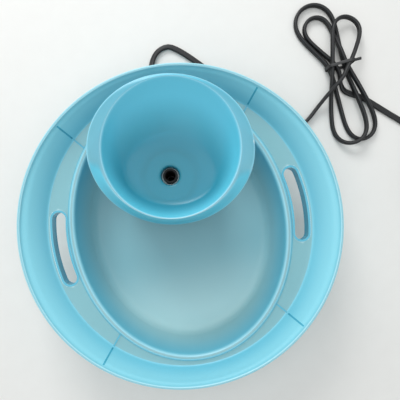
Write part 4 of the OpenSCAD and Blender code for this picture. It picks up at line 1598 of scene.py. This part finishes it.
    def route(self) -> list[Stop]:
        """All stops from the grommet to the plug.

        Returns:
            The stops, in order.
        """
        lead = smooth_curve([(*self.exit, 0.0), *self.lead], 3)
        hank = smooth_curve(self.hank(), 2)
        tail = smooth_curve(self.tail, 3)
        return lead + hank[1:] + tail[1:]

    def tube(self, name: str, stops: Sequence[Stop]) -> Piece:
        """Run a twin-lobed section along a route.

        Args:
            name: The piece's name.
            stops: The route, in millimetres, with the roll of the wide side.

        Returns:
            The tube.
        """
        radius = self.thick / 2
        offset = self.width / 2 - radius
        points = [Vector(stop[:3]) for stop in stops]
        axes = []
        for i, stop in enumerate(stops):
            way = (points[min(i + 1, len(points) - 1)] - points[max(i - 1, 0)]).normalized()
            side = way.cross(Vector((0, 0, 1))).normalized()
            up = side.cross(way)
            turn = Matrix.Rotation(-math.radians(stop[3]), 3, way)
            axes.append((turn @ side, turn @ up))

        def place(station: int, angle: float) -> Vector:
            """Point of the twin-lobed section, never below the table.

            Args:
                station: Number of the section.
                angle: Angle round it, in radians.

            Returns:
                The point, in millimetres.
            """
            x, y = math.cos(angle), math.sin(angle)
            lobe = offset * abs(x) + math.sqrt(radius**2 - (offset * y) ** 2)
            wide, thin = axes[station]
            at = points[station] + wide * (x * lobe) + thin * (y * lobe)
            at.z = max(at.z, self.table_gap)
            return at

        bm = bmesh.new()
        sweep(bm, self.sides, len(stops), place)
        piece = as_object(name, bm)
        smooth(piece, 60)
        return piece

    def build(self, pieces: Sequence[Piece]) -> None:
        """Args:
            pieces: The tie and the plug's pieces; not used.
        """
        settle(self.tube("cord_inside", self.inner), CORD_SKIN, "base", ["cord_inner"])
        stops = self.route()
        free = self.tube("mains_cord", stops)
        settle(free, CORD_SKIN, "base", ["cord_lead", "cord_hank", "cord_tail"])


# ---- studio ----------------------------------------------------------------------------------


@dataclass(frozen=True)
class Lamp:
    """Square area light that faces the object.

    Attributes:
        name: Its name.
        place_m: Its place, in metres.
        size_m: Length of a side, in metres.
        power_w: Its power, in watts.
        aim_m: Point that it faces, in metres.
    """

    name: str
    place_m: Point
    size_m: float
    power_w: float
    aim_m: Point = (0.0, 0.0, 0.05)

    def build(self) -> None:
        """Add the light."""
        data = bpy.data.lights.new(self.name, "AREA")
        data.shape = "SQUARE"
        data.size = self.size_m
        data.energy = self.power_w
        light = bpy.data.objects.new(self.name, data)
        light.location = self.place_m
        aim = Vector(self.aim_m) - Vector(self.place_m)
        light.rotation_euler = aim.to_track_quat("-Z", "Y").to_euler()
        bpy.context.scene.collection.objects.link(light)


@dataclass(frozen=True)
class Studio:
    """Camera straight above, pale table, soft lights.

    Attributes:
        eye: The camera's place, in millimetres.
        roll: Angle by which the object's back leans to the left, in degrees.
        frame_px: Side of the square frame in pixels.
        focal_px: Focal length in the frame's pixels.
        foot_px: Where the point under the camera lies in the frame.
        sensor: Width of the sensor, in millimetres.
        ambient: Strength of the surroundings as a light.
        backdrop: Strength at which they are seen.
        near_m: Nearest distance that the camera draws, in metres.
        table_half_m: Half the side of the table top, in metres.
        paper_scale: Scale of the mottling of the table top.
        lamps: The lights.
    """

    eye: Point = (2.3, 3.5, 475.0)
    roll: float = 11.0
    frame_px: float = 400.0
    focal_px: float = 433.0
    foot_px: Pair = (182.0, 222.0)
    sensor: float = 36.0
    ambient: float = 0.46
    backdrop: float = 0.9
    near_m: float = 0.01
    table_half_m: float = 3.0
    paper_scale: float = 60.0
    lamps: tuple[Lamp, ...] = (
        Lamp("overhead", (-0.15, -0.05, 1.5), 1.6, 11.9),
        Lamp("key", (-0.12, 1.15, 0.85), 0.6, 10.6),
    )

    def camera(self) -> None:
        """Make the camera and use it."""
        data = bpy.data.cameras.new("camera")
        data.sensor_width = self.sensor
        data.lens = self.focal_px / self.frame_px * self.sensor
        data.shift_x = (self.frame_px / 2 - self.foot_px[0]) / self.frame_px
        data.shift_y = (self.foot_px[1] - self.frame_px / 2) / self.frame_px
        data.clip_start = self.near_m
        camera = bpy.data.objects.new("camera", data)
        camera.location = Vector(self.eye) * MM
        camera.rotation_euler = (0, 0, math.radians(-self.roll))
        bpy.context.scene.collection.objects.link(camera)
        bpy.context.scene.camera = camera

    def table(self) -> None:
        """Pale table top, far larger than the view."""
        bm = bmesh.new()
        bmesh.ops.create_grid(bm, x_segments=1, y_segments=1, size=self.table_half_m)
        floor = as_object("table", bm)
        material, tree = blank("pale_table")
        place = add(tree, "ShaderNodeTexCoord").outputs["Object"]
        mottling = {"Vector": place, "Scale": self.paper_scale, "Detail": 3.0}
        paper = add(tree, "ShaderNodeTexNoise", mottling)
        shade = blend(tree, paper.outputs["Fac"], linear("e0e0dd"), linear("e4e4e1"))
        shader = add(tree, "ShaderNodeBsdfPrincipled", {"Base Color": shade, "Roughness": 0.7})
        add(tree, "ShaderNodeOutputMaterial", {"Surface": shader.outputs[0]})
        floor.data.materials.append(material)

    def surroundings(self) -> None:
        """Pale surroundings, which look white but light the object less."""
        world = bpy.data.worlds.new("studio")
        world.use_nodes = True
        tree = world.node_tree
        ray = add(tree, "ShaderNodeLightPath").outputs
        seen = ray["Is Camera Ray"]
        for kind in ("Is Glossy Ray", "Is Transmission Ray"):
            seen = add(tree, "ShaderNodeMath", {0: seen, 1: ray[kind]}, operation="MAXIMUM").outputs[0]
        background = tree.nodes["Background"]
        background.inputs["Color"].default_value = linear("f7fafc")
        tree.links.new(spread(tree, seen, self.ambient, self.backdrop), background.inputs["Strength"])
        bpy.context.scene.world = world

    def build(self) -> None:
        """Set up the camera, table, world and lamps."""
        self.camera()
        self.table()
        self.surroundings()
        for lamp in self.lamps:
            lamp.build()
        bpy.context.scene.view_settings.view_transform = "Standard"


# ---- assembly --------------------------------------------------------------------------------

DRESSED = (
    Dressed("rubber_feet", CLEAR_RUBBER, "base", "clear_rubber", 0.5),
    Dressed("filter_frame", WHITE_PLASTIC, "filter", "white_plastic", 0.6),
    Dressed("pump_body", BLACK_PLASTIC, "base", "black_plastic", 0.6),
    Dressed("impeller_cover", BLACK_PLASTIC, "base", "black_plastic", 0.2),
    Dressed("impeller_wheel", WHITE_PLASTIC, "rotor", "white_plastic", 0.15),
    Dressed("intake_cover", BLACK_PLASTIC, "cover", "black_plastic", 0.35),
    Dressed("flow_slider", GREY_PLASTIC, "slider", "grey_plastic", 0.25),
    Dressed("suction_cups", DARK_RUBBER, "base", "dark_rubber", 0.2),
    Dressed("riser_tube", RISER_BLACK, "base", "black_plastic", 0.4),
    Dressed("cable_gland", BLACK_PLASTIC, "base", "black_plastic", 0.3),
    Dressed("cord_grommet", DARK_RUBBER, "base", "dark_rubber", 0.3),
    Dressed("motor_coil", COPPER, "base", "copper_winding", 0.5),
)

CORD_PIECES = (
    Dressed("twist_tie", PLUG_BLACK, "base", "plug_black", 0.2),
    Dressed("plug_relief", PLUG_BLACK, "base", "plug_black", 0.3),
    Dressed("plug_body", PLUG_BLACK, "base", "plug_black", 0.8),
    Dressed("plug_blades", PLATED_BRASS, "base", "plated_brass", 0.3),
)

POROUS = (
    Porous("filter_pad", CARBON_PAD, "filter", "carbon_pad", 0.35),
    Porous("foam_prefilter", FOAM, "base", "foam", 0.5),
)

# Inner pieces that keep their construction mesh
KEPT = {
    "stator_core": LAMINATED_STEEL,
    "potting_cap": EPOXY,
    "rotor_magnet": FERRITE,
    "rotor_shaft": CERAMIC,
    "shaft_bushes": DARK_RUBBER,
    "riser_seal": CLEAR_RUBBER,
}


def main() -> None:
    """Build the fountain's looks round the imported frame."""
    logging.basicConfig(level=logging.INFO, format="%(name)s: %(message)s")
    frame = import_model()
    nodes = frame["nodes"]
    Studio().build()
    Cord().build([item.build(nodes) for item in CORD_PIECES])
    Basin().build()
    Tower().build()
    Bowl().build()
    for item in DRESSED:
        item.build(nodes)
    for item in POROUS:
        item.build()
    for node, finish in KEPT.items():
        paint(nodes[node], finish)
    bpy.context.view_layer.update()


if __name__ == "__main__":
    main()
